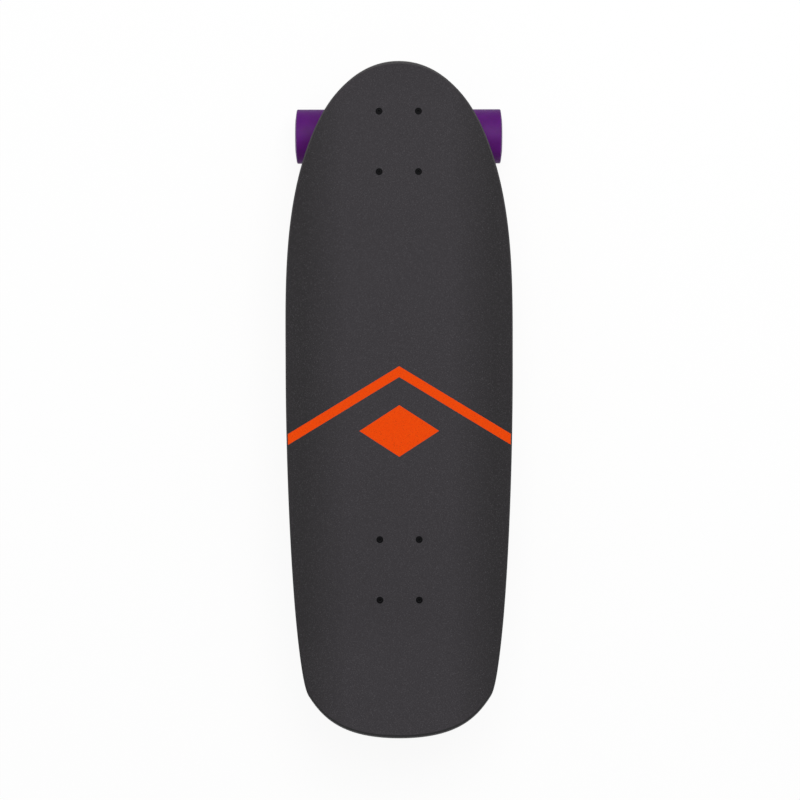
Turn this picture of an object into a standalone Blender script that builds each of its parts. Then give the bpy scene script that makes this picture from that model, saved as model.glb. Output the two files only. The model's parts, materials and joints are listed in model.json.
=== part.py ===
"""Cruiser skateboard with a kicktail, modelled at its real size as it comes apart on a bench.

X runs across the board, +Y towards the nose and +Z up. The origin is on the ground, under the
middle of the deck. Every piece of a truck is placed in that truck's own frame, whose origin is the
middle of the baseplate's top face and whose +Y points outboard, away from the middle of the board.
"""

import math

import bmesh
import bpy
from mathutils import Vector

MM = 0.001
GAP = 0.3 * MM
SLACK_RADIUS = 0.3 * MM

# Deck: a seven-ply maple plate with a flat middle, raised sides, a kicktail and a slightly lifted nose.
# Lengths are along its surface, as it is cut out flat before it is pressed.
NOSE_REACH = 355.5 * MM
TAIL_REACH = 357.5 * MM
DECK_HALF_WIDTH = 119.1 * MM
DECK_THICKNESS = 10.5 * MM
DECK_TOP_ROUND = 1.4 * MM
DECK_BOTTOM_ROUND = 3.2 * MM
FLAT_HALF_WIDTH = 50 * MM
CONCAVE_RISE = 7 * MM
TAIL_BEND = {"start": 228 * MM, "radius": 160 * MM, "angle": math.radians(19)}
NOSE_BEND = {"start": 315 * MM, "radius": 150 * MM, "angle": math.radians(16)}

# Right half of the flat outline, nose to tail: knot, handle before it and handle after it.
NOSE_TIP = (0.0, NOSE_REACH)
TAIL_TIP = (0.0, -TAIL_REACH)
SHOULDER = (88.1 * MM, 284.8 * MM)
WAIST = (DECK_HALF_WIDTH, 38.2 * MM)
TAIL_CORNER = (95.3 * MM, -313.1 * MM)
OUTLINE_KNOTS = (
    (NOSE_TIP, (-43 * MM, 0), (43 * MM, 0)),
    (SHOULDER, (-16 * MM, 36.2 * MM), (33.9 * MM, -76.5 * MM)),
    (WAIST, (0, 80 * MM), (0, -154 * MM)),
    (TAIL_CORNER, (13.3 * MM, 20.7 * MM), (-13.7 * MM, -21.3 * MM)),
    (TAIL_TIP, (61.5 * MM, 0), (-61.5 * MM, 0)),
)
OUTLINE_STEPS = 8
CROSS_CUTS = [side * x * MM for x in (50, 68, 86, 104) for side in (-1, 1)]
LENGTH_CUTS = [y * MM for y in (-308, -281, -270, -260, -250, -239, -228, -150, -60, 30, 120, 210, 270,
                                315, 329, 343)]

# Grip tape: one printed sheet with a chevron stripe and a plain diamond.
GRIP_THICKNESS = 0.9 * MM
GRIP_INSET = 1.1 * MM
STRIPE_SLOPE = 0.62
STRIPE_APEX = 29.4 * MM
STRIPE_HALF_HEIGHT = 5.5 * MM
DIAMOND_CENTRE = -32.3 * MM
DIAMOND_HALF_WIDTH = 40 * MM
DIAMOND_HALF_HEIGHT = 26.4 * MM

# Trucks: traditional kingpin pattern, so the pivot is outboard and the kingpin nut faces inboard.
FRONT_TRUCK_Y = 270.7 * MM
REAR_TRUCK_Y = -179.1 * MM
TRUCK_HEIGHT = 53 * MM
AXLE_OUTBOARD = 11.6 * MM
HOLE_SPACING_X = 41.3 * MM
HOLE_SPACING_Y = 63.5 * MM
SPARE_HOLE_Y = -22.2 * MM
RISER_THICKNESS = 6 * MM
RISER_HALF_SIZE = (28.5 * MM, 43.5 * MM)
BASEPLATE_HALF_SIZE = (27.5 * MM, 42 * MM)
BASEPLATE_THICKNESS = 6 * MM
PLATE_CORNER = 8 * MM
PLATE_EDGE_ROUND = 0.8 * MM
INSIDE_PLATE = 2 * MM

# The pivot axis runs from the middle of the hanger's ring up to the ball in the pivot cup.
PIVOT_ANGLE = math.radians(28)
PIVOT_BALL_OUTBOARD = 27.5 * MM
PIVOT_BALL_DEPTH = 13 * MM
PIVOT_TO_RING = 47.5 * MM
KINGPIN_LEAN = math.radians(24)
STEM_LEAN = math.radians(30)
PIVOT_BALL_RADIUS = 6.2 * MM
CUP_INNER_RADIUS = PIVOT_BALL_RADIUS + 0.45 * MM
CUP_OUTER_RADIUS = CUP_INNER_RADIUS + 1.9 * MM
SOCKET_RADIUS = CUP_OUTER_RADIUS + SLACK_RADIUS
COLLAR_RADIUS = SOCKET_RADIUS + 3.2 * MM
COLLAR_HEIGHT = 11.5 * MM
RIB_DEPTH = 11 * MM
RIB_HALF_WIDTH = 7 * MM
RIB_ENDS = (-10 * MM, 24 * MM)

# Along the kingpin, heights are measured from the middle of the hanger's ring, positive towards the deck.
KINGPIN_RADIUS = 4.76 * MM
KINGPIN_HEAD = (28.3 * MM, 33.8 * MM)
KINGPIN_TIP = -27 * MM
HEX_CORNER_14 = 8.26 * MM
KINGPIN_NUT_THICKNESS = 7.6 * MM
POCKET_CLEARANCE = 0.5 * MM
BOSS_SEAT = 19.5 * MM
BOSS_FOOT = 45 * MM
BOSS_RADIUS = 15.2 * MM
BOSS_FOOT_RADIUS = 24 * MM
RING_RADIUS = 17 * MM
RING_HALF_THICKNESS = 5 * MM
RING_BORE = 6.6 * MM
RING_RECESS_RADIUS = 12.9 * MM
RING_RECESS_DEPTH = 1.5 * MM
BUSHING_RADIUS = 12.2 * MM
BUSHING_BORE = KINGPIN_RADIUS + SLACK_RADIUS
BUSHING_SHOULDER = 1.2 * MM
CONE_END = -14.5 * MM
CONE_END_RADIUS = 9.2 * MM
CONE_STRAIGHT = 3 * MM
WASHER_WALL = 0.9 * MM
WASHER_FLOOR = 1.6 * MM
LOWER_WASHER = {"rim": 13.4 * MM, "lip": 2.2 * MM}
UPPER_WASHER = {"rim": 11 * MM, "lip": 1.8 * MM}

# Hanger: its axle housing as (radius, distance from the middle), from one end to the middle.
HANGER_HALF_WIDTH = 75 * MM
HOUSING_HALF = ((0, HANGER_HALF_WIDTH), (9.2 * MM, HANGER_HALF_WIDTH), (9.2 * MM, 69 * MM),
                (8.2 * MM, 64 * MM), (8.6 * MM, 52 * MM), (10.4 * MM, 28 * MM))
HOUSING_MIDDLE_RADIUS = 10.6 * MM
# Half of the wings that brace the ring: distance across, and from the axle towards the ring.
WING_HALF = ((50 * MM, -3 * MM), (46 * MM, 3 * MM), (31 * MM, 8 * MM),
             (21 * MM, 16 * MM), (16.5 * MM, 26 * MM))
WING_HALF_THICKNESS = 5 * MM
NECK_HALF_SIZE = (13 * MM, 6.2 * MM)
NECK_SHORT_OF_RING = 6 * MM
# The stem under the pivot's ball as (radius, distance below the ball's middle).
STEM = ((0, 0), (4.6 * MM, -2 * MM), (5.2 * MM, -6 * MM), (6.6 * MM, -12 * MM), (9.2 * MM, -22 * MM),
        (10 * MM, -42 * MM), (0, -42 * MM))
GUSSET_HALF_WIDTHS = (26 * MM, 9 * MM)
GUSSET_HEIGHT = 20 * MM
GUSSET_HALF_THICKNESS = 4 * MM
CAST_ROUND = 1.8 * MM

# Axle line: each wheel, its two bearings, the washer and the nut, outwards from the hanger.
WHEEL_RADIUS = 29 * MM
WHEEL_SIDES = 28
WHEEL_HALF_WIDTH = 22.5 * MM
LIP_START = 20.2 * MM
LIP_END = 21.1 * MM
LIP_RADIUS = 28 * MM
FACE_RADIUS = 18.4 * MM
RECESS_RADIUS = 16.6 * MM
WHEEL_CENTRE = 88.2 * MM
AXLE_RADIUS = 4 * MM
AXLE_HALF_LENGTH = 110.2 * MM
AXLE_CHAMFER = 0.8 * MM
BEARING_RADIUS = 11 * MM
BEARING_WIDTH = 7 * MM
INNER_RING_RADIUS = 6.1 * MM
INNER_RING_STEP = 1 * MM
SEAT_SHOULDER = 4.6 * MM
SEAT_MOUTH = 12.6 * MM
CORE_BORE = 9.4 * MM
WASHER_START = 101.5 * MM
WASHER_THICKNESS = 1 * MM
WASHER_RADIUS = 6.6 * MM
AXLE_NUT_THICKNESS = 6.2 * MM
HEX_CORNER_13 = 7.33 * MM

# Mounting hardware: countersunk bolts with a hexagon socket, and lock nuts under the baseplate.
BOLT_RADIUS = 2.4 * MM
BOLT_HEAD_RADIUS = 3.6 * MM
BOLT_HEAD_BELOW_GRIP = 0.3 * MM
BOLT_LIP = 0.3 * MM
BOLT_LENGTH = 31.5 * MM
BOLT_TIP_CHAMFER = 0.6 * MM
BOLT_SOCKET_RADIUS = 1.85 * MM
BOLT_SOCKET_DEPTH = 1.7 * MM
NUT_CORNER = 5.5 * MM
NUT_THICKNESS = 5.6 * MM

# Heights above the ground, which each wheel meets with one of its flat facets.
BASEPLATE_TOP = WHEEL_RADIUS + TRUCK_HEIGHT
RISER_BOTTOM = BASEPLATE_TOP + GAP
DECK_BOTTOM = RISER_BOTTOM + RISER_THICKNESS + GAP
DECK_MIDDLE = DECK_BOTTOM + DECK_THICKNESS / 2
DECK_TOP = DECK_BOTTOM + DECK_THICKNESS
GRIP_BOTTOM = DECK_TOP + GAP
GRIP_TOP = GRIP_BOTTOM + GRIP_THICKNESS

CORNER_ANGLE = math.radians(35)
ROUND_SIDES = 18
RING_SIDES = 28
FINE_SIDES = 14
BOLT_SIDES = 12
DOME_STEPS = 4
MERGE = 0.001 * MM
FLAT_ENOUGH = 0.99


def linear(red, green, blue):
    """A display colour, 0 to 255 a channel, as the linear colour that Blender's sockets take."""
    shares = [value / 255 for value in (red, green, blue)]
    return [s / 12.92 if s <= 0.04045 else ((s + 0.055) / 1.055) ** 2.4 for s in shares] + [1.0]


def make_material(name, colour, roughness, metallic=0.0):
    material = bpy.data.materials.new(name)
    material.use_nodes = True
    shader = material.node_tree.nodes["Principled BSDF"]
    shader.inputs["Base Color"].default_value = colour
    shader.inputs["Roughness"].default_value = roughness
    shader.inputs["Metallic"].default_value = metallic
    material.diffuse_color = colour
    return material


def make_materials():
    return {
        "maple": make_material("maple", linear(214, 174, 122), 0.45),
        "grip": make_material("grip_tape", linear(62, 59, 63), 0.9),
        "stripe": make_material("printed_orange", linear(241, 70, 4), 0.85),
        "rubber": make_material("riser_rubber", linear(26, 26, 28), 0.7),
        "cast": make_material("cast_aluminium", linear(176, 178, 180), 0.42, 1.0),
        "steel": make_material("zinc_steel", linear(150, 152, 156), 0.3, 1.0),
        "black_steel": make_material("black_steel", linear(22, 22, 24), 0.45, 0.6),
        "wheel": make_material("purple_urethane", linear(87, 34, 108), 0.38),
        "bushing": make_material("orange_urethane", linear(226, 92, 30), 0.4),
        "cup": make_material("cup_plastic", linear(30, 30, 32), 0.5),
        "bearing": make_material("bearing_steel", linear(190, 192, 196), 0.22, 1.0),
    }


def clear_scene():
    for obj in list(bpy.data.objects):
        bpy.data.objects.remove(obj, do_unlink=True)


def make_collection(name, parent, hidden=False):
    collection = bpy.data.collections.new(name)
    parent.children.link(collection)
    collection.hide_render = hidden
    return collection


def make_empty(name, parent=None, location=(0, 0, 0), lean=0.0, turn=0.0):
    """A frame for pieces: lean tips its +Z outboard about X, and turn spins it about Z."""
    empty = bpy.data.objects.new(name, None)
    empty.empty_display_size = 10 * MM
    empty.location = location
    empty.rotation_euler = (-lean, 0, turn)
    empty.parent = parent or BOARD
    PARTS.objects.link(empty)
    return empty


def add_object(name, mesh, material=None, parent=None, location=(0, 0, 0), rotation=(0, 0, 0), cutter=False):
    obj = bpy.data.objects.new(name, mesh)
    obj.location = location
    obj.rotation_euler = rotation
    obj.parent = parent or BOARD
    (CUTTERS if cutter else PARTS).objects.link(obj)
    if cutter:
        obj.hide_render = True
        obj.display_type = "WIRE"
    if material is not None:
        mesh.materials.clear()
        mesh.materials.append(material)
    return obj


def mesh_from(bm, name):
    mesh = bpy.data.meshes.new(name)
    bm.to_mesh(mesh)
    bm.free()
    mesh.shade_smooth()
    mesh.set_sharp_from_angle(angle=CORNER_ANGLE)
    return mesh


def make_permanent(obj):
    """Replaces the object's mesh by what its modifiers make of it."""
    bpy.context.view_layer.update()
    graph = bpy.context.evaluated_depsgraph_get()
    mesh = bpy.data.meshes.new_from_object(obj.evaluated_get(graph), depsgraph=graph)
    obj.modifiers.clear()
    obj.data = mesh
    mesh.name = obj.name
    mesh.shade_smooth()
    mesh.set_sharp_from_angle(angle=CORNER_ANGLE)
    return obj


def combine(obj, operation, others, keep=False):
    """Joins other solids to obj, or cuts them out of it, and stops if one of them has no effect."""
    for other in others:
        before = len(obj.data.polygons)
        modifier = obj.modifiers.new(operation.lower(), "BOOLEAN")
        modifier.operation = operation
        modifier.object = other
        make_permanent(obj)
        if len(obj.data.polygons) == before:
            raise RuntimeError(f"{other.name} changed nothing in {obj.name}")
        if not keep:
            bpy.data.objects.remove(other, do_unlink=True)
    return obj


def turned(name, profile, sides, closed=True, first_angle=0.0, **placing):
    """A solid turned about Z from (radius, height) points, down its outer side. A closed one has a bore."""
    bm = bmesh.new()
    points = [
        bm.verts.new((radius * math.cos(first_angle), radius * math.sin(first_angle), height))
        for radius, height in profile
    ]
    for a, b in zip(points, points[1:]):
        bm.edges.new((a, b))
    if closed:
        bm.edges.new((points[-1], points[0]))
    obj = add_object(name, mesh_from(bm, name), **placing)
    screw = obj.modifiers.new("turned", "SCREW")
    screw.steps = sides
    screw.render_steps = sides
    screw.use_merge_vertices = True
    screw.merge_threshold = MERGE
    return make_permanent(obj)


def cylinder(name, radius, bottom, top, sides=ROUND_SIDES, top_radius=None, **placing):
    bm = bmesh.new()
    bmesh.ops.create_cone(
        bm,
        cap_ends=True,
        segments=sides,
        radius1=radius,
        radius2=radius if top_radius is None else top_radius,
        depth=top - bottom,
    )
    bmesh.ops.translate(bm, verts=bm.verts, vec=(0, 0, (top + bottom) / 2))
    return add_object(name, mesh_from(bm, name), **placing)


def box(name, low, high, **placing):
    bm = bmesh.new()
    bmesh.ops.create_cube(bm, size=1)
    low, high = Vector(low), Vector(high)
    bmesh.ops.scale(bm, vec=high - low, verts=bm.verts)
    bmesh.ops.translate(bm, vec=(high + low) / 2, verts=bm.verts)
    return add_object(name, mesh_from(bm, name), **placing)


def ball(name, radius, **placing):
    bm = bmesh.new()
    bmesh.ops.create_uvsphere(bm, u_segments=FINE_SIDES, v_segments=2 * DOME_STEPS, radius=radius)
    return add_object(name, mesh_from(bm, name), **placing)


def filled_outline(name, splines_of, half_thickness):
    """A bmesh of the plate that a filled flat curve makes, with one face above, one below and a rim."""
    curve = bpy.data.curves.new(name, "CURVE")
    curve.dimensions = "2D"
    curve.fill_mode = "BOTH"
    curve.extrude = half_thickness
    splines_of(curve)
    guide = bpy.data.objects.new(name, curve)
    CUTTERS.objects.link(guide)
    bpy.context.view_layer.update()
    graph = bpy.context.evaluated_depsgraph_get()
    mesh = bpy.data.meshes.new_from_object(guide.evaluated_get(graph), depsgraph=graph)
    bm = bmesh.new()
    bm.from_mesh(mesh)
    bmesh.ops.remove_doubles(bm, verts=bm.verts, dist=MERGE)
    bmesh.ops.recalc_face_normals(bm, faces=bm.faces)
    for side in (-1, 1):
        bmesh.ops.dissolve_faces(bm, faces=[f for f in bm.faces if side * f.normal.z > FLAT_ENOUGH])
    bpy.data.objects.remove(guide, do_unlink=True)
    bpy.data.curves.remove(curve)
    bpy.data.meshes.remove(mesh)
    return bm


def plate(name, outline, low, high, edge_round=0.0, **placing):
    """A flat plate between two heights, from outline points (x, y) in order."""

    def splines(curve):
        spline = curve.splines.new("POLY")
        spline.points.add(len(outline) - 1)
        for point, (x, y) in zip(spline.points, outline):
            point.co = (x, y, 0, 1)
        spline.use_cyclic_u = True

    bm = filled_outline(name, splines, (high - low) / 2)
    for side in (-1, 1):
        round_rim(bm, side, edge_round)
    bmesh.ops.translate(bm, vec=(0, 0, (high + low) / 2), verts=bm.verts)
    return add_object(name, mesh_from(bm, name), **placing)


def round_rim(bm, side, width, segments=1):
    """Rounds the edge between a plate's rim and its upper face, side 1, or its lower one, side -1."""
    if width <= 0:
        return
    bm.normal_update()
    rim = {e for f in bm.faces if side * f.normal.z > FLAT_ENOUGH for e in f.edges}
    bmesh.ops.bevel(
        bm, geom=list(rim), offset=width, segments=segments, profile=0.5, affect="EDGES", material=-1
    )


def rounded_rectangle(half_x, half_y, corner, steps=4):
    points = []
    for quarter, (sx, sy) in enumerate(((1, 1), (-1, 1), (-1, -1), (1, -1))):
        for step in range(steps + 1):
            angle = (quarter + step / steps) * math.pi / 2
            points.append((
                sx * (half_x - corner) + corner * math.cos(angle),
                sy * (half_y - corner) + corner * math.sin(angle),
            ))
    return points


def pressed(flat):
    """Where a point of the flat sheet lies in the pressed deck: sides raised, then both ends bent up."""
    past_flat = max(0.0, abs(flat.x) - FLAT_HALF_WIDTH) / (DECK_HALF_WIDTH - FLAT_HALF_WIDTH)
    height = flat.z - DECK_MIDDLE + CONCAVE_RISE * past_flat**2
    end = NOSE_BEND if flat.y > 0 else TAIL_BEND
    past_bend = abs(flat.y) - end["start"]
    if past_bend <= 0:
        return Vector((flat.x, flat.y, DECK_MIDDLE + height))
    turn = min(past_bend / end["radius"], end["angle"])
    straight = past_bend - end["radius"] * turn
    run = end["radius"] * math.sin(turn) + straight * math.cos(turn) - height * math.sin(turn)
    rise = end["radius"] * (1 - math.cos(turn)) + straight * math.sin(turn) + height * math.cos(turn)
    return Vector((flat.x, math.copysign(end["start"] + run, flat.y), DECK_MIDDLE + rise))


def outline_splines(inset):
    """The deck's outline as one closed Bezier spline, drawn in by the given inset."""
    across = 1 - inset / DECK_HALF_WIDTH
    along = 1 - 2 * inset / (NOSE_REACH + TAIL_REACH)
    right = list(OUTLINE_KNOTS)
    left = [
        ((-x, y), (-after[0], after[1]), (-before[0], before[1]))
        for (x, y), before, after in reversed(right[1:-1])
    ]

    def splines(curve):
        curve.resolution_u = OUTLINE_STEPS
        spline = curve.splines.new("BEZIER")
        knots = right + left
        spline.bezier_points.add(len(knots) - 1)
        for point, (knot, before, after) in zip(spline.bezier_points, knots):
            point.handle_left_type = point.handle_right_type = "FREE"
            place = Vector((knot[0] * across, knot[1] * along, 0))
            point.co = place
            point.handle_left = place + Vector((before[0] * across, before[1] * along, 0))
            point.handle_right = place + Vector((after[0] * across, after[1] * along, 0))
        spline.use_cyclic_u = True

    return splines


def slice_at(bm, faces, place, normal):
    """Cuts the given faces along a plane."""
    edges = {e for f in faces for e in f.edges}
    verts = {v for f in faces for v in f.verts}
    bmesh.ops.bisect_plane(
        bm, geom=list(faces) + list(edges) + list(verts), plane_co=place, plane_no=normal, dist=MERGE
    )


def flat_sheet(name, inset, bottom, thickness, top_round=0.0, bottom_round=0.0):
    """A bmesh of the deck's outline, still flat but at its height, cut into cells that can be bent."""
    bm = filled_outline(name, outline_splines(inset), thickness / 2)
    round_rim(bm, 1, top_round)
    round_rim(bm, -1, bottom_round, segments=2)
    for x in CROSS_CUTS:
        slice_at(bm, bm.faces[:], (x, 0, 0), (1, 0, 0))
    for y in LENGTH_CUTS:
        slice_at(bm, bm.faces[:], (0, y, 0), (0, 1, 0))
    bmesh.ops.translate(bm, vec=(0, 0, bottom + thickness / 2), verts=bm.verts)
    return bm


def press(bm):
    for vert in bm.verts:
        vert.co = pressed(vert.co)
    bm.normal_update()


def bolt_places():
    """Where the eight mounting bolts stand, with a name for each."""
    rows = (("rear", REAR_TRUCK_Y), ("front", FRONT_TRUCK_Y))
    for truck, middle in rows:
        for place, (sx, sy) in {
            "nose_left": (-1, 1), "nose_right": (1, 1), "tail_left": (-1, -1), "tail_right": (1, -1)
        }.items():
            yield truck, place, Vector((sx * HOLE_SPACING_X / 2, middle + sy * HOLE_SPACING_Y / 2, 0))


def bolt_hole_cutters():
    """One stepped drill for each bolt: the grip's opening, the countersink and the shaft's hole."""
    wide = BOLT_HEAD_RADIUS + SLACK_RADIUS
    narrow = BOLT_RADIUS + SLACK_RADIUS
    head_top = GRIP_TOP - BOLT_HEAD_BELOW_GRIP
    cone_bottom = head_top - BOLT_LIP - (BOLT_HEAD_RADIUS - BOLT_RADIUS) - GAP / 2
    cone_top = cone_bottom + wide - narrow
    above = GRIP_TOP + BASEPLATE_THICKNESS
    below = BASEPLATE_TOP - 2 * BASEPLATE_THICKNESS
    profile = [(0, above), (wide, above), (wide, cone_top),
               (narrow, cone_bottom), (narrow, below), (0, below)]
    return [
        turned(f"drill_{truck}_{place}", profile, BOLT_SIDES, closed=False, location=spot, cutter=True)
        for truck, place, spot in bolt_places()
    ]


def build_deck(materials, drills):
    bm = flat_sheet("deck", 0.0, DECK_BOTTOM, DECK_THICKNESS, DECK_TOP_ROUND, DECK_BOTTOM_ROUND)
    press(bm)
    deck = add_object("deck", mesh_from(bm, "deck"), materials["maple"])
    return combine(deck, "DIFFERENCE", drills, keep=True)


def in_print(point):
    """Whether a point of the grip tape lies in the orange print."""
    across = abs(point.x)
    on_stripe = abs(point.y - (STRIPE_APEX - STRIPE_SLOPE * across)) < STRIPE_HALF_HEIGHT
    in_diamond = across / DIAMOND_HALF_WIDTH + abs(point.y - DIAMOND_CENTRE) / DIAMOND_HALF_HEIGHT < 1
    return on_stripe or in_diamond


def build_grip(materials, drills):
    """The grip tape, cut along the print's edges so that the orange is faces of its own."""
    bm = flat_sheet("grip_tape", GRIP_INSET, GRIP_BOTTOM, GRIP_THICKNESS)
    slice_at(bm, bm.faces[:], (0, 0, 0), (1, 0, 0))
    diamond_slope = DIAMOND_HALF_HEIGHT / DIAMOND_HALF_WIDTH
    lines = [
        (STRIPE_APEX + STRIPE_HALF_HEIGHT, -STRIPE_SLOPE, None),
        (STRIPE_APEX - STRIPE_HALF_HEIGHT, -STRIPE_SLOPE, None),
        (DIAMOND_CENTRE + DIAMOND_HALF_HEIGHT, -diamond_slope, DIAMOND_HALF_WIDTH),
        (DIAMOND_CENTRE - DIAMOND_HALF_HEIGHT, diamond_slope, DIAMOND_HALF_WIDTH),
    ]
    for side in (-1, 1):
        for height, slope, reach in lines:
            half = [
                f for f in bm.faces
                if side * f.calc_center_median().x > 0
                and (reach is None or abs(f.calc_center_median().x) < FLAT_HALF_WIDTH)
            ]
            slice_at(bm, half, (0, height, 0), (-slope * side, 1, 0))
    for face in bm.faces:
        face.material_index = int(in_print(face.calc_center_median()))
    press(bm)
    mesh = mesh_from(bm, "grip_tape")
    mesh.materials.append(materials["grip"])
    mesh.materials.append(materials["stripe"])
    grip = add_object("grip_tape", mesh)
    return combine(grip, "DIFFERENCE", drills, keep=True)


def build_hardware(materials):
    """Eight countersunk bolts down through grip, deck, riser and baseplate, with a lock nut each."""
    head = BOLT_HEAD_RADIUS
    lip = -BOLT_LIP
    cone = lip - (BOLT_HEAD_RADIUS - BOLT_RADIUS)
    tip = BOLT_TIP_CHAMFER
    profile = [(0, 0), (head, 0), (head, lip), (BOLT_RADIUS, cone), (BOLT_RADIUS, tip - BOLT_LENGTH),
               (BOLT_RADIUS - tip, -BOLT_LENGTH), (0, -BOLT_LENGTH)]
    nut_top = BASEPLATE_TOP - BASEPLATE_THICKNESS - GAP
    bolt_top = Vector((0, 0, GRIP_TOP - BOLT_HEAD_BELOW_GRIP))
    for truck, place, spot in bolt_places():
        bolt = turned(
            f"{truck}_bolt_{place}", profile, BOLT_SIDES, closed=False,
            material=materials["black_steel"], location=spot + bolt_top,
        )
        socket = cylinder("socket", BOLT_SOCKET_RADIUS, -BOLT_SOCKET_DEPTH, BOLT_SOCKET_DEPTH, sides=6,
                          location=spot + bolt_top, cutter=True)
        combine(bolt, "DIFFERENCE", [socket])
        nut = cylinder(f"{truck}_nut_{place}", NUT_CORNER, nut_top - NUT_THICKNESS, nut_top, sides=6,
                       material=materials["steel"], location=spot)
        bore = cylinder("nut_bore", BOLT_RADIUS + SLACK_RADIUS, 0, DECK_TOP, sides=BOLT_SIDES,
                        location=spot, cutter=True)
        combine(nut, "DIFFERENCE", [bore])


def build_baseplate(name, truck, kingpin_frame, cup_frame, materials, drills):
    """The cast plate that bolts to the deck, with the kingpin's boss and the pivot's socket."""
    base = plate(
        name, rounded_rectangle(*BASEPLATE_HALF_SIZE, PLATE_CORNER), -BASEPLATE_THICKNESS, 0,
        edge_round=PLATE_EDGE_ROUND, material=materials["cast"], parent=truck,
    )
    boss = cylinder("boss", BOSS_RADIUS, BOSS_SEAT, BOSS_FOOT, top_radius=BOSS_FOOT_RADIUS,
                    parent=kingpin_frame, cutter=True)
    collar = cylinder("collar", COLLAR_RADIUS, 0, COLLAR_HEIGHT, parent=cup_frame, cutter=True)
    lug_y = BASEPLATE_HALF_SIZE[1] - COLLAR_RADIUS
    lug = cylinder("lug", COLLAR_RADIUS - GAP, -RIB_DEPTH, -INSIDE_PLATE, top_radius=COLLAR_RADIUS,
                   parent=truck, location=(0, lug_y, 0), cutter=True)
    rib = box("rib", (-RIB_HALF_WIDTH, RIB_ENDS[0], -RIB_DEPTH), (RIB_HALF_WIDTH, RIB_ENDS[1], -INSIDE_PLATE),
              parent=truck, cutter=True)
    combine(base, "UNION", [boss, collar, lug, rib])

    wide = 2 * BOSS_FOOT
    above = box("above", (-wide, -wide, 0), (wide, wide, wide), parent=truck, cutter=True)
    bore = cylinder("bore", BUSHING_BORE, 0, BOSS_FOOT, parent=kingpin_frame, cutter=True)
    pocket = cylinder("pocket", HEX_CORNER_14 + POCKET_CLEARANCE, KINGPIN_HEAD[0] - GAP, wide,
                      parent=kingpin_frame, cutter=True)
    socket = turned("socket", dome(SOCKET_RADIUS) + [(SOCKET_RADIUS, -COLLAR_RADIUS), (0, -COLLAR_RADIUS)],
                    FINE_SIDES, closed=False, parent=cup_frame, cutter=True)
    spare = [
        cylinder("spare_hole", BOLT_RADIUS + SLACK_RADIUS, -wide, wide, sides=BOLT_SIDES,
                 parent=truck, location=(side * HOLE_SPACING_X / 2, SPARE_HOLE_Y, 0), cutter=True)
        for side in (-1, 1)
    ]
    combine(base, "DIFFERENCE", [above, bore, pocket, socket, *spare])
    return combine(base, "DIFFERENCE", drills, keep=True)


def build_kingpin_stack(prefix, frame, materials):
    """The kingpin with its washers, bushings and nut, all on the leaning kingpin's own line."""
    head_low, head_high = KINGPIN_HEAD
    head_middle = (head_low + head_high) / 2
    tip = BOLT_TIP_CHAMFER
    kingpin = turned(
        f"{prefix}_kingpin",
        [(0, head_middle), (KINGPIN_RADIUS, head_middle), (KINGPIN_RADIUS, KINGPIN_TIP + tip),
         (KINGPIN_RADIUS - tip, KINGPIN_TIP), (0, KINGPIN_TIP)],
        ROUND_SIDES, closed=False, material=materials["steel"], parent=frame,
    )
    head = cylinder("head", HEX_CORNER_14, head_low, head_high, sides=6, parent=frame, cutter=True)
    combine(kingpin, "UNION", [head])

    cup_top = BOSS_SEAT - GAP
    barrel_top = cup_top - WASHER_FLOOR - GAP
    ring_seat = RING_HALF_THICKNESS - RING_RECESS_DEPTH + GAP
    cup_bottom = CONE_END - GAP - WASHER_FLOOR
    build_cupped_washer(f"{prefix}_lower_washer", cup_top, -1, LOWER_WASHER, frame, materials)
    build_cupped_washer(f"{prefix}_upper_washer", cup_bottom, 1, UPPER_WASHER, frame, materials)

    radius, bore, shoulder = BUSHING_RADIUS, BUSHING_BORE, BUSHING_SHOULDER
    barrel = [
        (bore, barrel_top), (radius - shoulder, barrel_top), (radius, barrel_top - shoulder),
        (radius, ring_seat + shoulder), (radius - shoulder, ring_seat), (bore, ring_seat),
    ]
    cone = [
        (bore, -ring_seat), (radius - shoulder, -ring_seat), (radius, -ring_seat - shoulder),
        (radius, -ring_seat - CONE_STRAIGHT), (CONE_END_RADIUS, CONE_END), (bore, CONE_END),
    ]
    for name, profile in ((f"{prefix}_lower_bushing", barrel), (f"{prefix}_upper_bushing", cone)):
        turned(name, profile, ROUND_SIDES, material=materials["bushing"], parent=frame)

    nut_top = cup_bottom - GAP
    nut = cylinder(f"{prefix}_kingpin_nut", HEX_CORNER_14, nut_top - KINGPIN_NUT_THICKNESS, nut_top, sides=6,
                   material=materials["steel"], parent=frame)
    hole = cylinder("kingpin_nut_bore", bore, nut_top - 2 * KINGPIN_NUT_THICKNESS, 0,
                    parent=frame, cutter=True)
    combine(nut, "DIFFERENCE", [hole])


def build_cupped_washer(name, back, opens, sizes, frame, materials):
    """A dished washer whose flat back is at the given height. opens is the way its rim points, 1 or -1."""
    floor = back + opens * WASHER_FLOOR
    lip = floor + opens * sizes["lip"]
    outer = sizes["rim"]
    inner = outer - WASHER_WALL
    profile = [(BUSHING_BORE, back), (outer, back), (outer, lip), (inner, lip), (inner, floor),
               (BUSHING_BORE, floor)]
    if opens > 0:
        profile.reverse()
    turned(name, profile, ROUND_SIDES, material=materials["steel"], parent=frame)


def build_pivot_cup(prefix, frame, materials):
    """The plastic cup between the hanger's ball and the baseplate's socket."""
    inside = list(reversed(dome(CUP_INNER_RADIUS)))
    turned(f"{prefix}_pivot_cup", dome(CUP_OUTER_RADIUS) + inside, FINE_SIDES, closed=False,
           material=materials["cup"], parent=frame)


def dome(radius):
    """The profile of a half ball, from its pole down to its equator."""
    angles = [step * math.pi / 2 / DOME_STEPS for step in range(DOME_STEPS + 1)]
    return [(radius * math.sin(a), radius * math.cos(a)) for a in angles]


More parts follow.
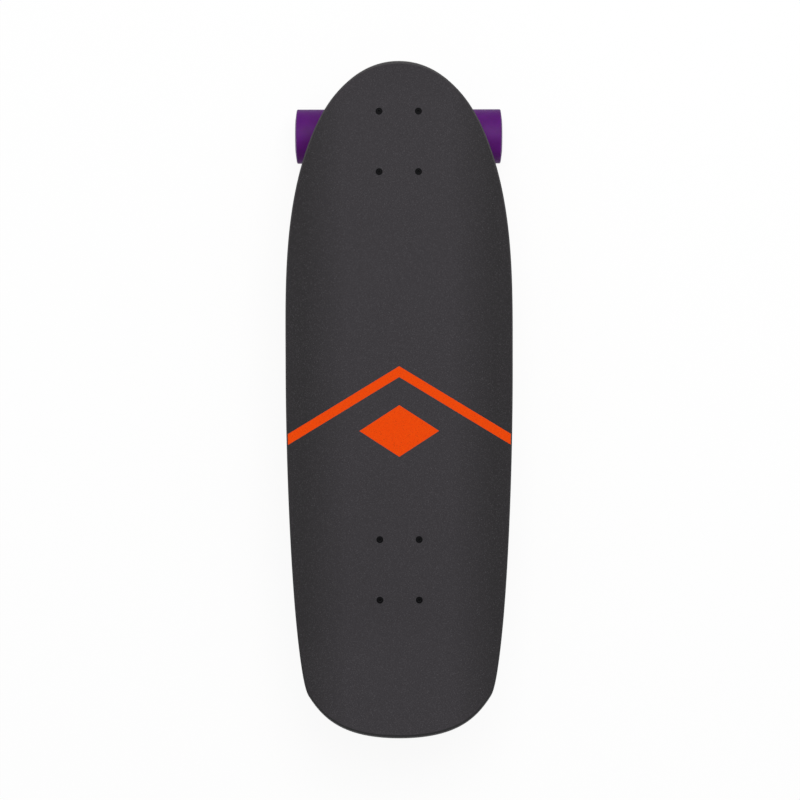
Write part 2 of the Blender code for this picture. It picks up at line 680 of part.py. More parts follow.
def build_hanger(prefix, pivot, offset, materials):
    """The cast hanger: axle housing, wings, kingpin ring, and the stem whose ball sits in the pivot cup.

    pivot is the empty on the pivot axis, and offset takes a point of the truck's frame into it.
    """
    axle = truck_point(AXLE_OUTBOARD, TRUCK_HEIGHT) + offset
    ring = ring_middle() + offset
    ball_middle = truck_point(PIVOT_BALL_OUTBOARD, PIVOT_BALL_DEPTH) + offset
    profile = HOUSING_HALF + ((HOUSING_MIDDLE_RADIUS, 0),) + mirrored(HOUSING_HALF)
    along_x = (0, math.pi / 2, 0)
    hanger = turned(f"{prefix}_hanger", profile, ROUND_SIDES, closed=False,
                    material=materials["cast"], parent=pivot, location=axle, rotation=along_x)

    to_ring = ring - axle
    tilt = (-math.atan2(to_ring.z, -to_ring.y), 0, 0)
    at_axle = {"parent": pivot, "location": axle, "cutter": True}
    half = [(across, -along) for across, along in WING_HALF]
    wings = half + [(-across, along) for across, along in reversed(half)]
    web = plate("web", wings, -WING_HALF_THICKNESS, WING_HALF_THICKNESS, edge_round=CAST_ROUND,
                rotation=tilt, **at_axle)
    neck_x, neck_z = NECK_HALF_SIZE
    neck = box("neck", (-neck_x, NECK_SHORT_OF_RING - to_ring.length, -neck_z), (neck_x, 0, neck_z),
               rotation=tilt, **at_axle)
    round_box_edges(neck, CAST_ROUND)
    foot, top = GUSSET_HALF_WIDTHS
    gusset = plate("gusset", [(foot, 0), (top, GUSSET_HEIGHT), (-top, GUSSET_HEIGHT), (-foot, 0)],
                   -GUSSET_HALF_THICKNESS, GUSSET_HALF_THICKNESS, edge_round=CAST_ROUND,
                   rotation=(math.pi / 2 - STEM_LEAN, 0, 0), **at_axle)
    at_ball = {"parent": pivot, "location": ball_middle, "rotation": (-STEM_LEAN, 0, 0), "cutter": True}
    stem = turned("stem", STEM, ROUND_SIDES, closed=False, **at_ball)
    tip = ball("tip", PIVOT_BALL_RADIUS, **at_ball)
    at_ring = {"parent": pivot, "location": ring, "rotation": (-KINGPIN_LEAN, 0, 0), "cutter": True}
    collar = cylinder("collar", RING_RADIUS, -RING_HALF_THICKNESS, RING_HALF_THICKNESS, sides=RING_SIDES,
                      **at_ring)
    combine(hanger, "UNION", [web, neck, collar, stem, tip, gusset])

    seat = RING_HALF_THICKNESS - RING_RECESS_DEPTH
    beyond = RING_RADIUS
    bore = cylinder("bore", RING_BORE, -beyond, beyond, **at_ring)
    recesses = [
        cylinder("recess", RING_RECESS_RADIUS, low, high, **at_ring)
        for low, high in ((seat, beyond), (-beyond, -seat))
    ]
    axle_bore = cylinder("axle_bore", AXLE_RADIUS + SLACK_RADIUS, -AXLE_HALF_LENGTH, AXLE_HALF_LENGTH,
                         sides=FINE_SIDES, rotation=along_x, **at_axle)
    return combine(hanger, "DIFFERENCE", [bore, *recesses, axle_bore])


def mirrored(half):
    """The other half of a profile of (radius, distance) points, carried on through the middle."""
    return tuple((radius, -distance) for radius, distance in reversed(half))


def round_box_edges(obj, width):
    bm = bmesh.new()
    bm.from_mesh(obj.data)
    bmesh.ops.bevel(bm, geom=bm.edges[:], offset=width, segments=1, profile=0.5, affect="EDGES", material=-1)
    bm.to_mesh(obj.data)
    bm.free()


def truck_point(outboard, depth):
    """A point in a truck's frame, on its middle plane."""
    return Vector((0, outboard, -depth))


def ring_middle():
    """The middle of the hanger's ring, where the kingpin crosses the pivot axis."""
    return truck_point(PIVOT_BALL_OUTBOARD, PIVOT_BALL_DEPTH) - PIVOT_TO_RING * Vector(
        (0, math.cos(PIVOT_ANGLE), math.sin(PIVOT_ANGLE))
    )


def build_axle(prefix, pivot, axle, materials):
    end = AXLE_HALF_LENGTH
    half = ((0, end), (AXLE_RADIUS - AXLE_CHAMFER, end), (AXLE_RADIUS, end - AXLE_CHAMFER))
    turned(f"{prefix}_axle", half + mirrored(half), FINE_SIDES, closed=False, material=materials["steel"],
           parent=pivot, location=axle, rotation=(0, math.pi / 2, 0))


def wheel_profile():
    """The wheel's section about its middle plane: bevelled faces, bearing seats and a square-lipped tread.

    The facets of the tread, not their corners, lie at the wheel's radius.
    """
    tread = WHEEL_RADIUS / math.cos(math.pi / WHEEL_SIDES)
    seat = BEARING_RADIUS + SLACK_RADIUS
    half = [
        (tread, LIP_START), (LIP_RADIUS, LIP_END), (FACE_RADIUS, WHEEL_HALF_WIDTH),
        (RECESS_RADIUS, WHEEL_HALF_WIDTH), (seat, SEAT_MOUTH), (seat, SEAT_SHOULDER),
        (CORE_BORE, SEAT_SHOULDER),
    ]
    return [(r, -x) for r, x in half] + list(reversed(half))


def build_wheel_set(name, side, pivot, axle, materials):
    """A wheel with its two bearings, and the washer and lock nut that hold it on the axle."""
    bore = AXLE_RADIUS + SLACK_RADIUS
    along_x = (0, math.pi / 2, 0)
    middle = axle + Vector((side * WHEEL_CENTRE, 0, 0))
    turned(f"{name}_wheel", wheel_profile(), WHEEL_SIDES, first_angle=math.pi / WHEEL_SIDES,
           material=materials["wheel"], parent=pivot, location=middle, rotation=along_x)

    near = SEAT_SHOULDER + GAP
    far = near + BEARING_WIDTH
    spacer_end, shoulder_end = GAP / 2, far + INNER_RING_STEP
    bearing = [
        (bore, shoulder_end), (INNER_RING_RADIUS, shoulder_end), (INNER_RING_RADIUS, far),
        (BEARING_RADIUS, far), (BEARING_RADIUS, near), (INNER_RING_RADIUS, near),
        (INNER_RING_RADIUS, spacer_end), (bore, spacer_end),
    ]
    for place, outwards in (("outer", side), ("inner", -side)):
        turned(f"{name}_{place}_bearing", bearing, FINE_SIDES, material=materials["bearing"], parent=pivot,
               location=middle, rotation=(0, outwards * math.pi / 2, 0))

    start, end = WASHER_START, WASHER_START + WASHER_THICKNESS
    facing = (0, side * math.pi / 2, 0)
    turned(f"{name}_axle_washer", [(bore, end), (WASHER_RADIUS, end), (WASHER_RADIUS, start), (bore, start)],
           FINE_SIDES, material=materials["steel"], parent=pivot, location=axle, rotation=facing)
    nut_start = end + GAP
    nut = cylinder(f"{name}_axle_nut", HEX_CORNER_13, nut_start, nut_start + AXLE_NUT_THICKNESS, sides=6,
                   material=materials["steel"], parent=pivot, location=axle, rotation=facing)
    hole = cylinder("axle_nut_bore", bore, 0, nut_start + 2 * AXLE_NUT_THICKNESS, sides=FINE_SIDES,
                    parent=pivot, location=axle, rotation=facing, cutter=True)
    combine(nut, "DIFFERENCE", [hole])


def slide_to_middle(deck):
    """Slides the whole board along Y until the middle of the deck's length is over the origin."""
    bpy.context.view_layer.update()
    ends = [(deck.matrix_world @ vert.co).y for vert in deck.data.vertices]
    BOARD.location.y = -(min(ends) + max(ends)) / 2


def build_truck(prefix, middle_y, facing, materials, drills):
    """One whole truck. facing is 1 where its outboard side points to the nose, and -1 to the tail."""
    truck = make_empty(f"{prefix}_truck_frame", location=(0, middle_y, BASEPLATE_TOP),
                       turn=0 if facing > 0 else math.pi)
    kingpin_frame = make_empty(f"{prefix}_kingpin_frame", truck, ring_middle(), lean=KINGPIN_LEAN)
    cup_frame = make_empty(f"{prefix}_cup_frame", truck, truck_point(PIVOT_BALL_OUTBOARD, PIVOT_BALL_DEPTH),
                           lean=STEM_LEAN)
    pivot = make_empty(f"{prefix}_pivot_frame", truck, ring_middle())
    axle = truck_point(AXLE_OUTBOARD, TRUCK_HEIGHT) - ring_middle()

    riser = plate(f"{prefix}_riser_pad", rounded_rectangle(*RISER_HALF_SIZE, PLATE_CORNER), GAP,
                  GAP + RISER_THICKNESS, edge_round=PLATE_EDGE_ROUND,
                  material=materials["rubber"], parent=truck)
    near = [d for d in drills if d.name.startswith(f"drill_{prefix}")]
    combine(riser, "DIFFERENCE", near, keep=True)
    build_baseplate(f"{prefix}_baseplate", truck, kingpin_frame, cup_frame, materials, near)
    build_kingpin_stack(prefix, kingpin_frame, materials)
    build_pivot_cup(prefix, cup_frame, materials)
    build_hanger(prefix, pivot, -ring_middle(), materials)
    build_axle(prefix, pivot, axle, materials)
    for side in (-1, 1):
        hand = "right" if side * facing > 0 else "left"
        build_wheel_set(f"{prefix}_{hand}", side, pivot, axle, materials)


clear_scene()
PARTS = make_collection("cruiser_skateboard", bpy.context.scene.collection)
CUTTERS = make_collection("cutters", bpy.context.scene.collection, hidden=True)
BOARD = bpy.data.objects.new("board_frame", None)
PARTS.objects.link(BOARD)
finishes = make_materials()
hole_drills = bolt_hole_cutters()
wooden_deck = build_deck(finishes, hole_drills)
build_grip(finishes, hole_drills)
build_truck("front", FRONT_TRUCK_Y, 1, finishes, hole_drills)
build_truck("rear", REAR_TRUCK_Y, -1, finishes, hole_drills)
build_hardware(finishes)
for drill in hole_drills:
    bpy.data.objects.remove(drill, do_unlink=True)
slide_to_middle(wooden_deck)
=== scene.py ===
# %% [markdown]
# # Dressing a cruiser skateboard
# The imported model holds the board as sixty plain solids, each at its real size and on the body that it
# moves with. They could be kept and only painted, but their facets show up close. So each one is made
# again here as a finer piece in the same place, and the plain solid stays hidden behind it.
# %% Load the plain board
import json
import math

import bmesh
import bpy
from mathutils import Matrix, Vector

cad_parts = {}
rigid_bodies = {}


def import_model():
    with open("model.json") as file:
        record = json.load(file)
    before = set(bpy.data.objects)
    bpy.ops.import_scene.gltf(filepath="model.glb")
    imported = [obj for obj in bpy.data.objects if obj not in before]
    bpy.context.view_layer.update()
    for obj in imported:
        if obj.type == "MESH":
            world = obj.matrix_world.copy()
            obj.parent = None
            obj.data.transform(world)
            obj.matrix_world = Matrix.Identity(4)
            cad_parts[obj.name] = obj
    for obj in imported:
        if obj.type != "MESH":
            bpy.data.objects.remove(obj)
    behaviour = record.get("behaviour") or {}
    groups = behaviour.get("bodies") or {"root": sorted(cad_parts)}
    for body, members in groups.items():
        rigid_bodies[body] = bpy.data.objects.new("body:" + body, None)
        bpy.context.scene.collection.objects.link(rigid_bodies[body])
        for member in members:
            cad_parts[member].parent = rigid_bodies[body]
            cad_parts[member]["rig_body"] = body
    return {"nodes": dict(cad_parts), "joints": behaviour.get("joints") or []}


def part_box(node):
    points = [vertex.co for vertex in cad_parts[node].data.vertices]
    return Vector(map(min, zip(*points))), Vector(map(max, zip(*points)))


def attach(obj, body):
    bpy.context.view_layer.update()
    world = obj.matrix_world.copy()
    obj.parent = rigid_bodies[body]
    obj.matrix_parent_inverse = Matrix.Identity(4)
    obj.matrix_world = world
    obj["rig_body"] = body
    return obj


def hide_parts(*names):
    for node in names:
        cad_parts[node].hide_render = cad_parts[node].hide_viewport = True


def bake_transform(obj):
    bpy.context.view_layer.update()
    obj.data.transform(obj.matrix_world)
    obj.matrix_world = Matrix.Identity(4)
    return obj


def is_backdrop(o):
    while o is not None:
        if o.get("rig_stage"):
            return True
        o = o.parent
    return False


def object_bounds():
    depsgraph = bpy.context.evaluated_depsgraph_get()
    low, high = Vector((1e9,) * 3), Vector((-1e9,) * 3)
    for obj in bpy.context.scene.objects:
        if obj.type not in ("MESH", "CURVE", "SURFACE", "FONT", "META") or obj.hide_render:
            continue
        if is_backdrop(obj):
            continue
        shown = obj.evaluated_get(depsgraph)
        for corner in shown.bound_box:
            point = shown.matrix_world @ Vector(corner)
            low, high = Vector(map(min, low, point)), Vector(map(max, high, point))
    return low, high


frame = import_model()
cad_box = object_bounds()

MM = 0.001
nodes = frame["nodes"]
joints = {joint["name"]: joint for joint in frame["joints"]}
print("Plain pieces:", len(nodes), "joints:", sorted(joints))

# %% [markdown]
# ## The drawing board
# A workshop draws each part on its own sheet, in millimetres, in the position that is easiest to draw:
# a wheel about its axle, a bolt hanging from its head. We do the same. A part is drawn in a bmesh in
# millimetres, and one matrix then sets it down on the board and scales it to metres. Before that, its
# drawn coordinates are stored as a point attribute named bench, so that a lathe mark or a ply of wood
# can follow the drawing wherever the part ends up.
# %% Set a drawing down as a finished piece
SHARP = math.radians(34)
TO_METRES = Matrix.Scale(MM, 4)


def at(x, y, z):
    """The place at a point given in millimetres."""
    return Matrix.Translation((x, y, z))


def rotation(degrees, axis="Z"):
    return Matrix.Rotation(math.radians(degrees), 4, axis)


def linked(name, data):
    """The data as an object in the scene."""
    obj = bpy.data.objects.new(name, data)
    bpy.context.scene.collection.objects.link(obj)
    return obj


def new_mesh(name, drawing, finishes):
    """The drawing as a mesh that remembers where each point was drawn."""
    mesh = bpy.data.meshes.new(name)
    drawing.to_mesh(mesh)
    bench = mesh.attributes.new("bench", "FLOAT_VECTOR", "POINT")
    places = [0.0] * (3 * len(mesh.vertices))
    mesh.vertices.foreach_get("co", places)
    bench.data.foreach_set("vector", places)
    for finish in finishes:
        mesh.materials.append(finish)
    return mesh


def set_down(node, drawing, finishes, place, reshape=None, rides=True):
    """Makes the drawing the finer piece for a node and lets it ride on that node's body.

    A reshape bends its points first. A piece that crosses a joint doesn't ride.
    """
    mesh = new_mesh("fine_" + node, drawing, finishes)
    if reshape is not None:
        for vertex in mesh.vertices:
            vertex.co = reshape(vertex.co)
    mesh.transform(TO_METRES @ place)
    mesh.shade_smooth()
    mesh.set_sharp_from_angle(angle=SHARP)
    piece = linked(mesh.name, mesh)
    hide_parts(node)
    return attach(piece, nodes[node]["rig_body"]) if rides else piece


def tell(what, pieces):
    faces = sum(len(piece.data.polygons) for piece in pieces)
    print(f"{what}: {len(pieces)} pieces, {faces} faces")


# %% [markdown]
# ## Solids
# Nearly all hardware is turned, cut from bar or cast. A turned part is half of its section, spun about
# Z. Its corners are rounded in the section, because a lathe tool and a tumbling barrel both leave a small
# round on every edge, and that round is what catches the light.
# %% Turned, sawn and pressed shapes
JOIN = 0.0005
# A rounding takes less than half of an edge, so that two of them never meet.
EDGE_SHARE = 0.48


def eased(corners, bored=False, steps=4):
    """The points of a section, given as (radius, height) or (radius, height, rounding) corners."""
    places = [Vector((corner[0], corner[1], 0)) for corner in corners]
    drawn = []
    for index, corner in enumerate(corners):
        here = places[index]
        rounding = corner[2] if len(corner) > 2 else 0
        at_end = not bored and index in (0, len(corners) - 1)
        if not rounding or at_end:
            drawn.append(here)
            continue
        before = places[index - 1] - here
        after = places[(index + 1) % len(places)] - here
        half_angle = before.angle(after) / 2
        reach = min(rounding / math.tan(half_angle), EDGE_SHARE * before.length, EDGE_SHARE * after.length)
        before.normalize()
        after.normalize()
        centre = here + (before + after).normalized() * reach / math.cos(half_angle)
        start = here + before * reach - centre
        end = here + after * reach - centre
        drawn += [centre + start.length * start.slerp(end, step / steps) for step in range(steps + 1)]
    return [(point.x, point.y) for point in drawn]


def mirrored(half):
    """A section from its top to height 0, carried on below. A corner at height 0 stays single."""
    below = [(radius, -height, *rounding) for radius, height, *rounding in reversed(half) if height]
    return half + below


def turned(corners, bored=False, steps=96, ease_steps=4):
    """A solid of revolution about Z. A bored section closes on itself, so it leaves a hole."""
    bm = bmesh.new()
    points = [bm.verts.new((radius, 0, height)) for radius, height in eased(corners, bored, ease_steps)]
    pairs = list(zip(points, points[1:]))
    if bored:
        pairs.append((points[-1], points[0]))
    section = points + [bm.edges.new(pair) for pair in pairs]
    bmesh.ops.spin(bm, geom=section, cent=(0, 0, 0), axis=(0, 0, 1), dvec=(0, 0, 0),
                   angle=2 * math.pi, steps=steps, use_merge=True, use_duplicate=False)
    bmesh.ops.remove_doubles(bm, verts=bm.verts, dist=JOIN)
    bmesh.ops.recalc_face_normals(bm, faces=bm.faces)
    return bm


def prism(sides, radius, low, high, top_radius=None):
    bm = bmesh.new()
    bmesh.ops.create_cone(bm, cap_ends=True, segments=sides, radius1=radius,
                          radius2=top_radius or radius, depth=high - low)
    bmesh.ops.translate(bm, verts=bm.verts, vec=(0, 0, (low + high) / 2))
    return bm


def block(low, high):
    bm = bmesh.new()
    bmesh.ops.create_cube(bm, size=1)
    low, high = Vector(low), Vector(high)
    bmesh.ops.scale(bm, vec=high - low, verts=bm.verts)
    bmesh.ops.translate(bm, vec=(low + high) / 2, verts=bm.verts)
    return bm


def raised(bm, faces, height):
    """Draws the faces up into a solid, and gives the points of its new top."""
    made = bmesh.ops.extrude_face_region(bm, geom=faces)["geom"]
    top = [item for item in made if isinstance(item, bmesh.types.BMVert)]
    bmesh.ops.translate(bm, vec=(0, 0, height), verts=top)
    return top


def sawn(outline, low, high):
    """A flat plate between two heights, from its outline's (x, y) points in order."""
    bm = bmesh.new()
    face = bm.faces.new([bm.verts.new((x, y, low)) for x, y in outline])
    raised(bm, [face], high - low)
    bmesh.ops.recalc_face_normals(bm, faces=bm.faces)
    return bm


def both_sides(half):
    """The right half of an outline, carried on to the left."""
    return half + [(-x, y) for x, y in reversed(half)]


def rounded_rectangle(half_x, half_y, corner, steps=8):
    points = []
    for quarter, (side_x, side_y) in enumerate(((1, 1), (-1, 1), (-1, -1), (1, -1))):
        for step in range(steps + 1):
            angle = (quarter + step / steps) * math.pi / 2
            points.append((side_x * (half_x - corner) + corner * math.cos(angle),
                           side_y * (half_y - corner) + corner * math.sin(angle)))
    return points


def rounded(bm, edges, width, segments):
    bmesh.ops.bevel(bm, geom=edges, offset=width, segments=segments, profile=0.5, affect="EDGES",
                    material=-1)


def moved(bm, matrix):
    bmesh.ops.transform(bm, matrix=matrix, verts=bm.verts)
    return bm


print("A turned test ring has", len(turned([(1, 0), (2, 0), (2, 1), (1, 1)], bored=True).faces), "faces")

# %% [markdown]
# ## Joining, drilling and casting
# A casting is several simple solids grown together, with every inner corner filled, because hot metal
# won't flow round a sharp one. Beveling such a union by hand is slow and fragile. Remeshing it into small
# even cells and easing those gives the same soft skin in one go. The holes are drilled afterwards,
# because a real casting is machined last and keeps crisp edges there. A drill can bring a mark, the
# number of the finish that its cut faces get.
# %% Join, drill and cast
MARKS = [bpy.data.materials.new(f"mark_{number}") for number in range(3)]


def marked(bm, mark=1):
    """Gives every face the mark of a finish: its place in the piece's list, counted from 0."""
    for face in bm.faces:
        face.material_index = mark
    return bm


def scratch_object(bm):
    """The bmesh as an object for modifiers. The bmesh is used up."""
    mesh = bpy.data.meshes.new("scratch")
    bm.to_mesh(mesh)
    bm.free()
    for material in MARKS:
        mesh.materials.append(material)
    return linked("scratch", mesh)


def result_of(obj):
    """The mesh that an object's modifiers make, as a bmesh. The object is used up."""
    bpy.context.view_layer.update()
    graph = bpy.context.evaluated_depsgraph_get()
    mesh = bpy.data.meshes.new_from_object(obj.evaluated_get(graph), depsgraph=graph)
    bm = bmesh.new()
    bm.from_mesh(mesh)
    bpy.data.meshes.remove(mesh)
    bpy.data.objects.remove(obj, do_unlink=True)
    return bm


def combined(operation, bm, tools):
    """Joins the tools to the solid, or cuts them out of it, or keeps what they share."""
    obj = scratch_object(bm)
    helpers = [scratch_object(tool) for tool in tools]
    for helper in helpers:
        boolean = obj.modifiers.new(operation, "BOOLEAN")
        boolean.operation = operation
        boolean.solver = "MANIFOLD"
        boolean.object = helper
    made = result_of(obj)
    for helper in helpers:
        bpy.data.objects.remove(helper, do_unlink=True)
    return made


def joined(bm, *tools):
    return combined("UNION", bm, tools)


def drilled(bm, *tools):
    return combined("DIFFERENCE", bm, tools)


def shared(bm, *tools):
    return combined("INTERSECT", bm, tools)


def cast(bm, grain, rounds):
    """A casting's skin: the solid in cells of one grain, eased a number of rounds."""
    obj = scratch_object(bm)
    skin = obj.modifiers.new("skin", "REMESH")
    skin.mode = "VOXEL"
    skin.voxel_size = grain
    ease = obj.modifiers.new("ease", "SMOOTH")
    ease.factor = 0.5
    ease.iterations = rounds
    return result_of(obj)


def gathered(*drawings):
    """Several drawings in one bmesh, each still a closed shell of its own."""
    whole = bmesh.new()
    for drawing in drawings:
        mesh = bpy.data.meshes.new("part")
        drawing.to_mesh(mesh)
        drawing.free()
        whole.from_mesh(mesh)
        bpy.data.meshes.remove(mesh)
    return whole


test = drilled(block((-5, -5, -5), (5, 5, 5)), marked(prism(32, 2, -9, 9)))
print("A drilled test block has", sum(face.material_index == 1 for face in test.faces), "faces in its bore")

# %% [markdown]
# ## Writing finishes as sums
# A finish is a Principled shader with a few nodes before it. Wiring those by hand hides the idea, which
# is arithmetic: this noise times that mask plus a constant. So a small class wraps a node's output and
# lets Python's own operators add the Math nodes, and another builds every other kind of node.
# %% A node's output that can be reckoned with


class Signal:
    """An output of a node. An expression on it adds Math nodes to the finish that it belongs to."""

    def __init__(self, finish, socket):
        self.finish = finish
        self.socket = socket

    def math(self, operation, *values):
        return self.finish.add("ShaderNodeMath", {"operation": operation}, dict(enumerate(values)))

    def __add__(self, other):
        return self.math("ADD", self, other)

    def __sub__(self, other):
        return self.math("SUBTRACT", self, other)

    def __rsub__(self, other):
        return self.math("SUBTRACT", other, self)

    def __mul__(self, other):
        return self.math("MULTIPLY", self, other)

    def __truediv__(self, other):
        return self.math("DIVIDE", self, other)

    def __pow__(self, other):
        return self.math("POWER", self, other)

    def __abs__(self):
        return self.math("ABSOLUTE", self)

    def __mod__(self, other):
        return self.math("FLOORED_MODULO", self, other)

    def __gt__(self, other):
        return self.math("GREATER_THAN", self, other)

    def __lt__(self, other):
        return self.math("LESS_THAN", self, other)

    __radd__ = __add__
    __rmul__ = __mul__


class Wiring:
    """The nodes of a material or of the world."""

    def __init__(self, owner):
        owner.use_nodes = True
        self.tree = owner.node_tree

    def connect(self, socket, value):
        if isinstance(value, Signal):
            self.tree.links.new(value.socket, socket)
        else:
            socket.default_value = value

    def add(self, kind, settings=None, sockets=None, output=0):
        """Adds a node: its settings first, then its sockets' values or links. Gives one of its outputs."""
        node = self.tree.nodes.new(kind)
        for name, value in (settings or {}).items():
            setattr(node, name, value)
        for name, value in (sockets or {}).items():
            self.connect(node.inputs[name], value)
        return Signal(self, node.outputs[output])


class Finish(Wiring):
    """A material in the making: a Principled shader and the nodes that feed it.

    Its bench signal is where each point of the piece was drawn, in millimetres.
    """

    def __init__(self, name, **uniform):
        self.material = bpy.data.materials.new(name)
        super().__init__(self.material)
        self.shader = self.tree.nodes["Principled BSDF"]
        self.feed({socket.replace("_", " "): value for socket, value in uniform.items()})
        settings = {"attribute_name": "bench", "attribute_type": "GEOMETRY"}
        self.bench = self.add("ShaderNodeAttribute", settings, output=1)

    def feed(self, sockets):
        """Sets or links sockets of the shader itself."""
        for name, value in sockets.items():
            self.connect(self.shader.inputs[name], value)

    def made(self, colour, roughness, relief):
        """Feeds what every finish has, and gives the material."""
        self.feed({"Base Color": colour, "Roughness": roughness, "Normal": relief})
        return self.material

    def axes(self):
        """The bench's three coordinates."""
        node = self.add("ShaderNodeSeparateXYZ", sockets={0: self.bench}).socket.node
        return [Signal(self, output) for output in node.outputs]

    def turning(self):
        """Where a point of a turned piece was drawn: its distance from the axis, and its height."""
        across, along, out = self.axes()
        return (across * across + along * along) ** 0.5, out

    def vector(self, x, y):
        return self.add("ShaderNodeCombineXYZ", sockets={0: x, 1: y})

    def noise(self, scale, detail=2.0, roughness=0.5, vector=None):
        """Noise on the bench. Three scales stretch it, and a vector takes the bench's place."""
        vector = vector or self.bench
        if isinstance(scale, tuple):
            vector = self.add("ShaderNodeVectorMath", {"operation": "MULTIPLY"}, {0: vector, 1: scale})
            scale = 1.0
        sockets = {"Vector": vector, "Scale": scale, "Detail": detail, "Roughness": roughness}
        return self.add("ShaderNodeTexNoise", sockets=sockets)

    def grains(self, scale, output=0):
        """Random cells: output 0 is the distance from a cell's middle, output 1 its random colour."""
        sockets = {"Vector": self.bench, "Scale": scale}
        return self.add("ShaderNodeTexVoronoi", sockets=sockets, output=output)

    def between(self, value, low, high, to_low=0.0, to_high=1.0):
        """The value spread from low..high to to_low..to_high, and held at both ends."""
        sockets = {"Value": value, "From Min": low, "From Max": high, "To Min": to_low, "To Max": to_high}
        return self.add("ShaderNodeMapRange", {"clamp": True}, sockets)

    def spread(self, noise, to_low=0.0, to_high=1.0):
        """A noise, which seldom leaves its middle range, spread over the whole of another range."""
        return self.between(noise, 0.3, 0.7, to_low, to_high)

    def mix(self, share, *colours):
        """Mixes two colours: signals, or display colours of 0 to 255 a channel."""
        settings = {"data_type": "RGBA", "clamp_factor": True}
        ends = [display(colour) if isinstance(colour, tuple) else colour for colour in colours]
        return self.add("ShaderNodeMix", settings, {0: share, 6: ends[0], 7: ends[1]}, output=2)

    def bump(self, height, millimetres):
        """A relief of the given depth in millimetres."""
        sockets = {"Height": height, "Distance": millimetres * MM, "Strength": 1.0}
        return self.add("ShaderNodeBump", sockets=sockets)


def display(colour):
    """A display colour, 0 to 255 a channel, as the linear colour that sockets take."""
    shares = [value / 255 for value in colour]
    return [s / 12.92 if s <= 0.04045 else ((s + 0.055) / 1.055) ** 2.4 for s in shares] + [1.0]


print("A mid grey of 128 is", round(display((128, 128, 128))[0], 3), "in linear light")

# %% [markdown]
# ## The pressed deck
# A deck starts as seven flat veneers, glued and pressed in a mould. The mould raises both sides, lifts
# the nose a little and bends up the kicktail. So we draw the flat blank first, with its true outline,
# and then bend every point the way the mould does. The outline is one Bezier spline, as a shaper draws
# it. An alternative is a subdivision cage, but that would lose the measured outline.
# %% The mould and the blank's outline
NOSE_REACH = 355.5
TAIL_REACH = 357.5
HALF_WIDTH = 119.1
DECK_THICKNESS = 10.5
FLAT_HALF_WIDTH = 50
CONCAVE_RISE = 7
TAIL_BEND = {"start": 228, "radius": 160, "angle": math.radians(19)}
NOSE_BEND = {"start": 315, "radius": 150, "angle": math.radians(16)}
# The right half of the outline, nose to tail: each knot with its handle before and its handle after.
OUTLINE = (
    ((0, NOSE_REACH), (-43, 0), (43, 0)),
    ((88.1, 284.8), (-16, 36.2), (33.9, -76.5)),
    ((HALF_WIDTH, 38.2), (0, 80), (0, -154)),
    ((95.3, -313.1), (13.3, 20.7), (-13.7, -21.3)),
    ((0, -TAIL_REACH), (61.5, 0), (-61.5, 0)),
)
CURVE_STEPS = 28
deck_low, deck_high = (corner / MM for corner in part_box("deck"))


def pressed(flat):
    """Where a point of the flat blank lies in the pressed board: sides raised, then both ends bent up.

    The bends keep the length of the middle ply, so heights are reckoned from there.
    """
    middle = DECK_THICKNESS / 2
    past_flat = max(0.0, abs(flat.x) - FLAT_HALF_WIDTH) / (HALF_WIDTH - FLAT_HALF_WIDTH)
    height = flat.z - middle + CONCAVE_RISE * past_flat**2
    bend = NOSE_BEND if flat.y > 0 else TAIL_BEND
    past_bend = abs(flat.y) - bend["start"]
    if past_bend <= 0:
        return Vector((flat.x, flat.y, middle + height))
    turn = min(past_bend / bend["radius"], bend["angle"])
    straight = past_bend - bend["radius"] * turn
    run = bend["radius"] * math.sin(turn) + straight * math.cos(turn) - height * math.sin(turn)
    rise = bend["radius"] * (1 - math.cos(turn)) + straight * math.sin(turn) + height * math.cos(turn)
    return Vector((flat.x, math.copysign(bend["start"] + run, flat.y), middle + rise))


def blank():
    """The flat outline as one face at height 0."""
    curve = bpy.data.curves.new("outline", "CURVE")
    curve.dimensions = "2D"
    curve.fill_mode = "BOTH"
    curve.resolution_u = CURVE_STEPS
    left = [((-x, y), (-after[0], after[1]), (-before[0], before[1]))
            for (x, y), before, after in reversed(OUTLINE[1:-1])]
    knots = list(OUTLINE) + left
    spline = curve.splines.new("BEZIER")
    spline.bezier_points.add(len(knots) - 1)
    for point, (knot, before, after) in zip(spline.bezier_points, knots):
        point.handle_left_type = point.handle_right_type = "FREE"
        place = Vector((*knot, 0))
        point.co = place
        point.handle_left = place + Vector((*before, 0))
        point.handle_right = place + Vector((*after, 0))
    spline.use_cyclic_u = True
    bm = result_of(linked("outline", curve))
    bpy.data.curves.remove(curve)
    bmesh.ops.remove_doubles(bm, verts=bm.verts, dist=JOIN)
    bmesh.ops.dissolve_faces(bm, faces=bm.faces[:])
    return bm


outline_face = blank()
print("The blank's outline has", len(outline_face.verts), "points")

# %% [markdown]
# The rim is rounded by hand with a file, more below than above. A ring of faces is kept just inside each
# rounded rim, so that the smooth shading of the round doesn't spill over the flat. Straight cuts along
# and across then let the blank bend. They stand close together in the bends and wide apart between them.
# %% Shape the rim and cut the blank into strips
TOP_ROUND = 1.4
BOTTOM_ROUND = 3.8
RING_INSIDE = 2.5
FLAT = 0.99
BEND_STEPS = 12


def bend_cuts():
    """Where the bends are cut. The nose's last three steps lie in its rim or beyond, and aren't cut."""
    cuts = []
    for bend, side, steps in ((TAIL_BEND, -1, BEND_STEPS), (NOSE_BEND, 1, BEND_STEPS - 3)):
        length = bend["radius"] * bend["angle"]
        cuts += [side * (bend["start"] + length * step / BEND_STEPS) for step in range(steps + 1)]
    return cuts


SIDE_CUTS = [side * x for x in range(50, 118, 6) for side in (-1, 1)] + [0, -25, 25]
LENGTH_CUTS = [*range(-210, 315, 30), *bend_cuts(), -300, -320, -340]


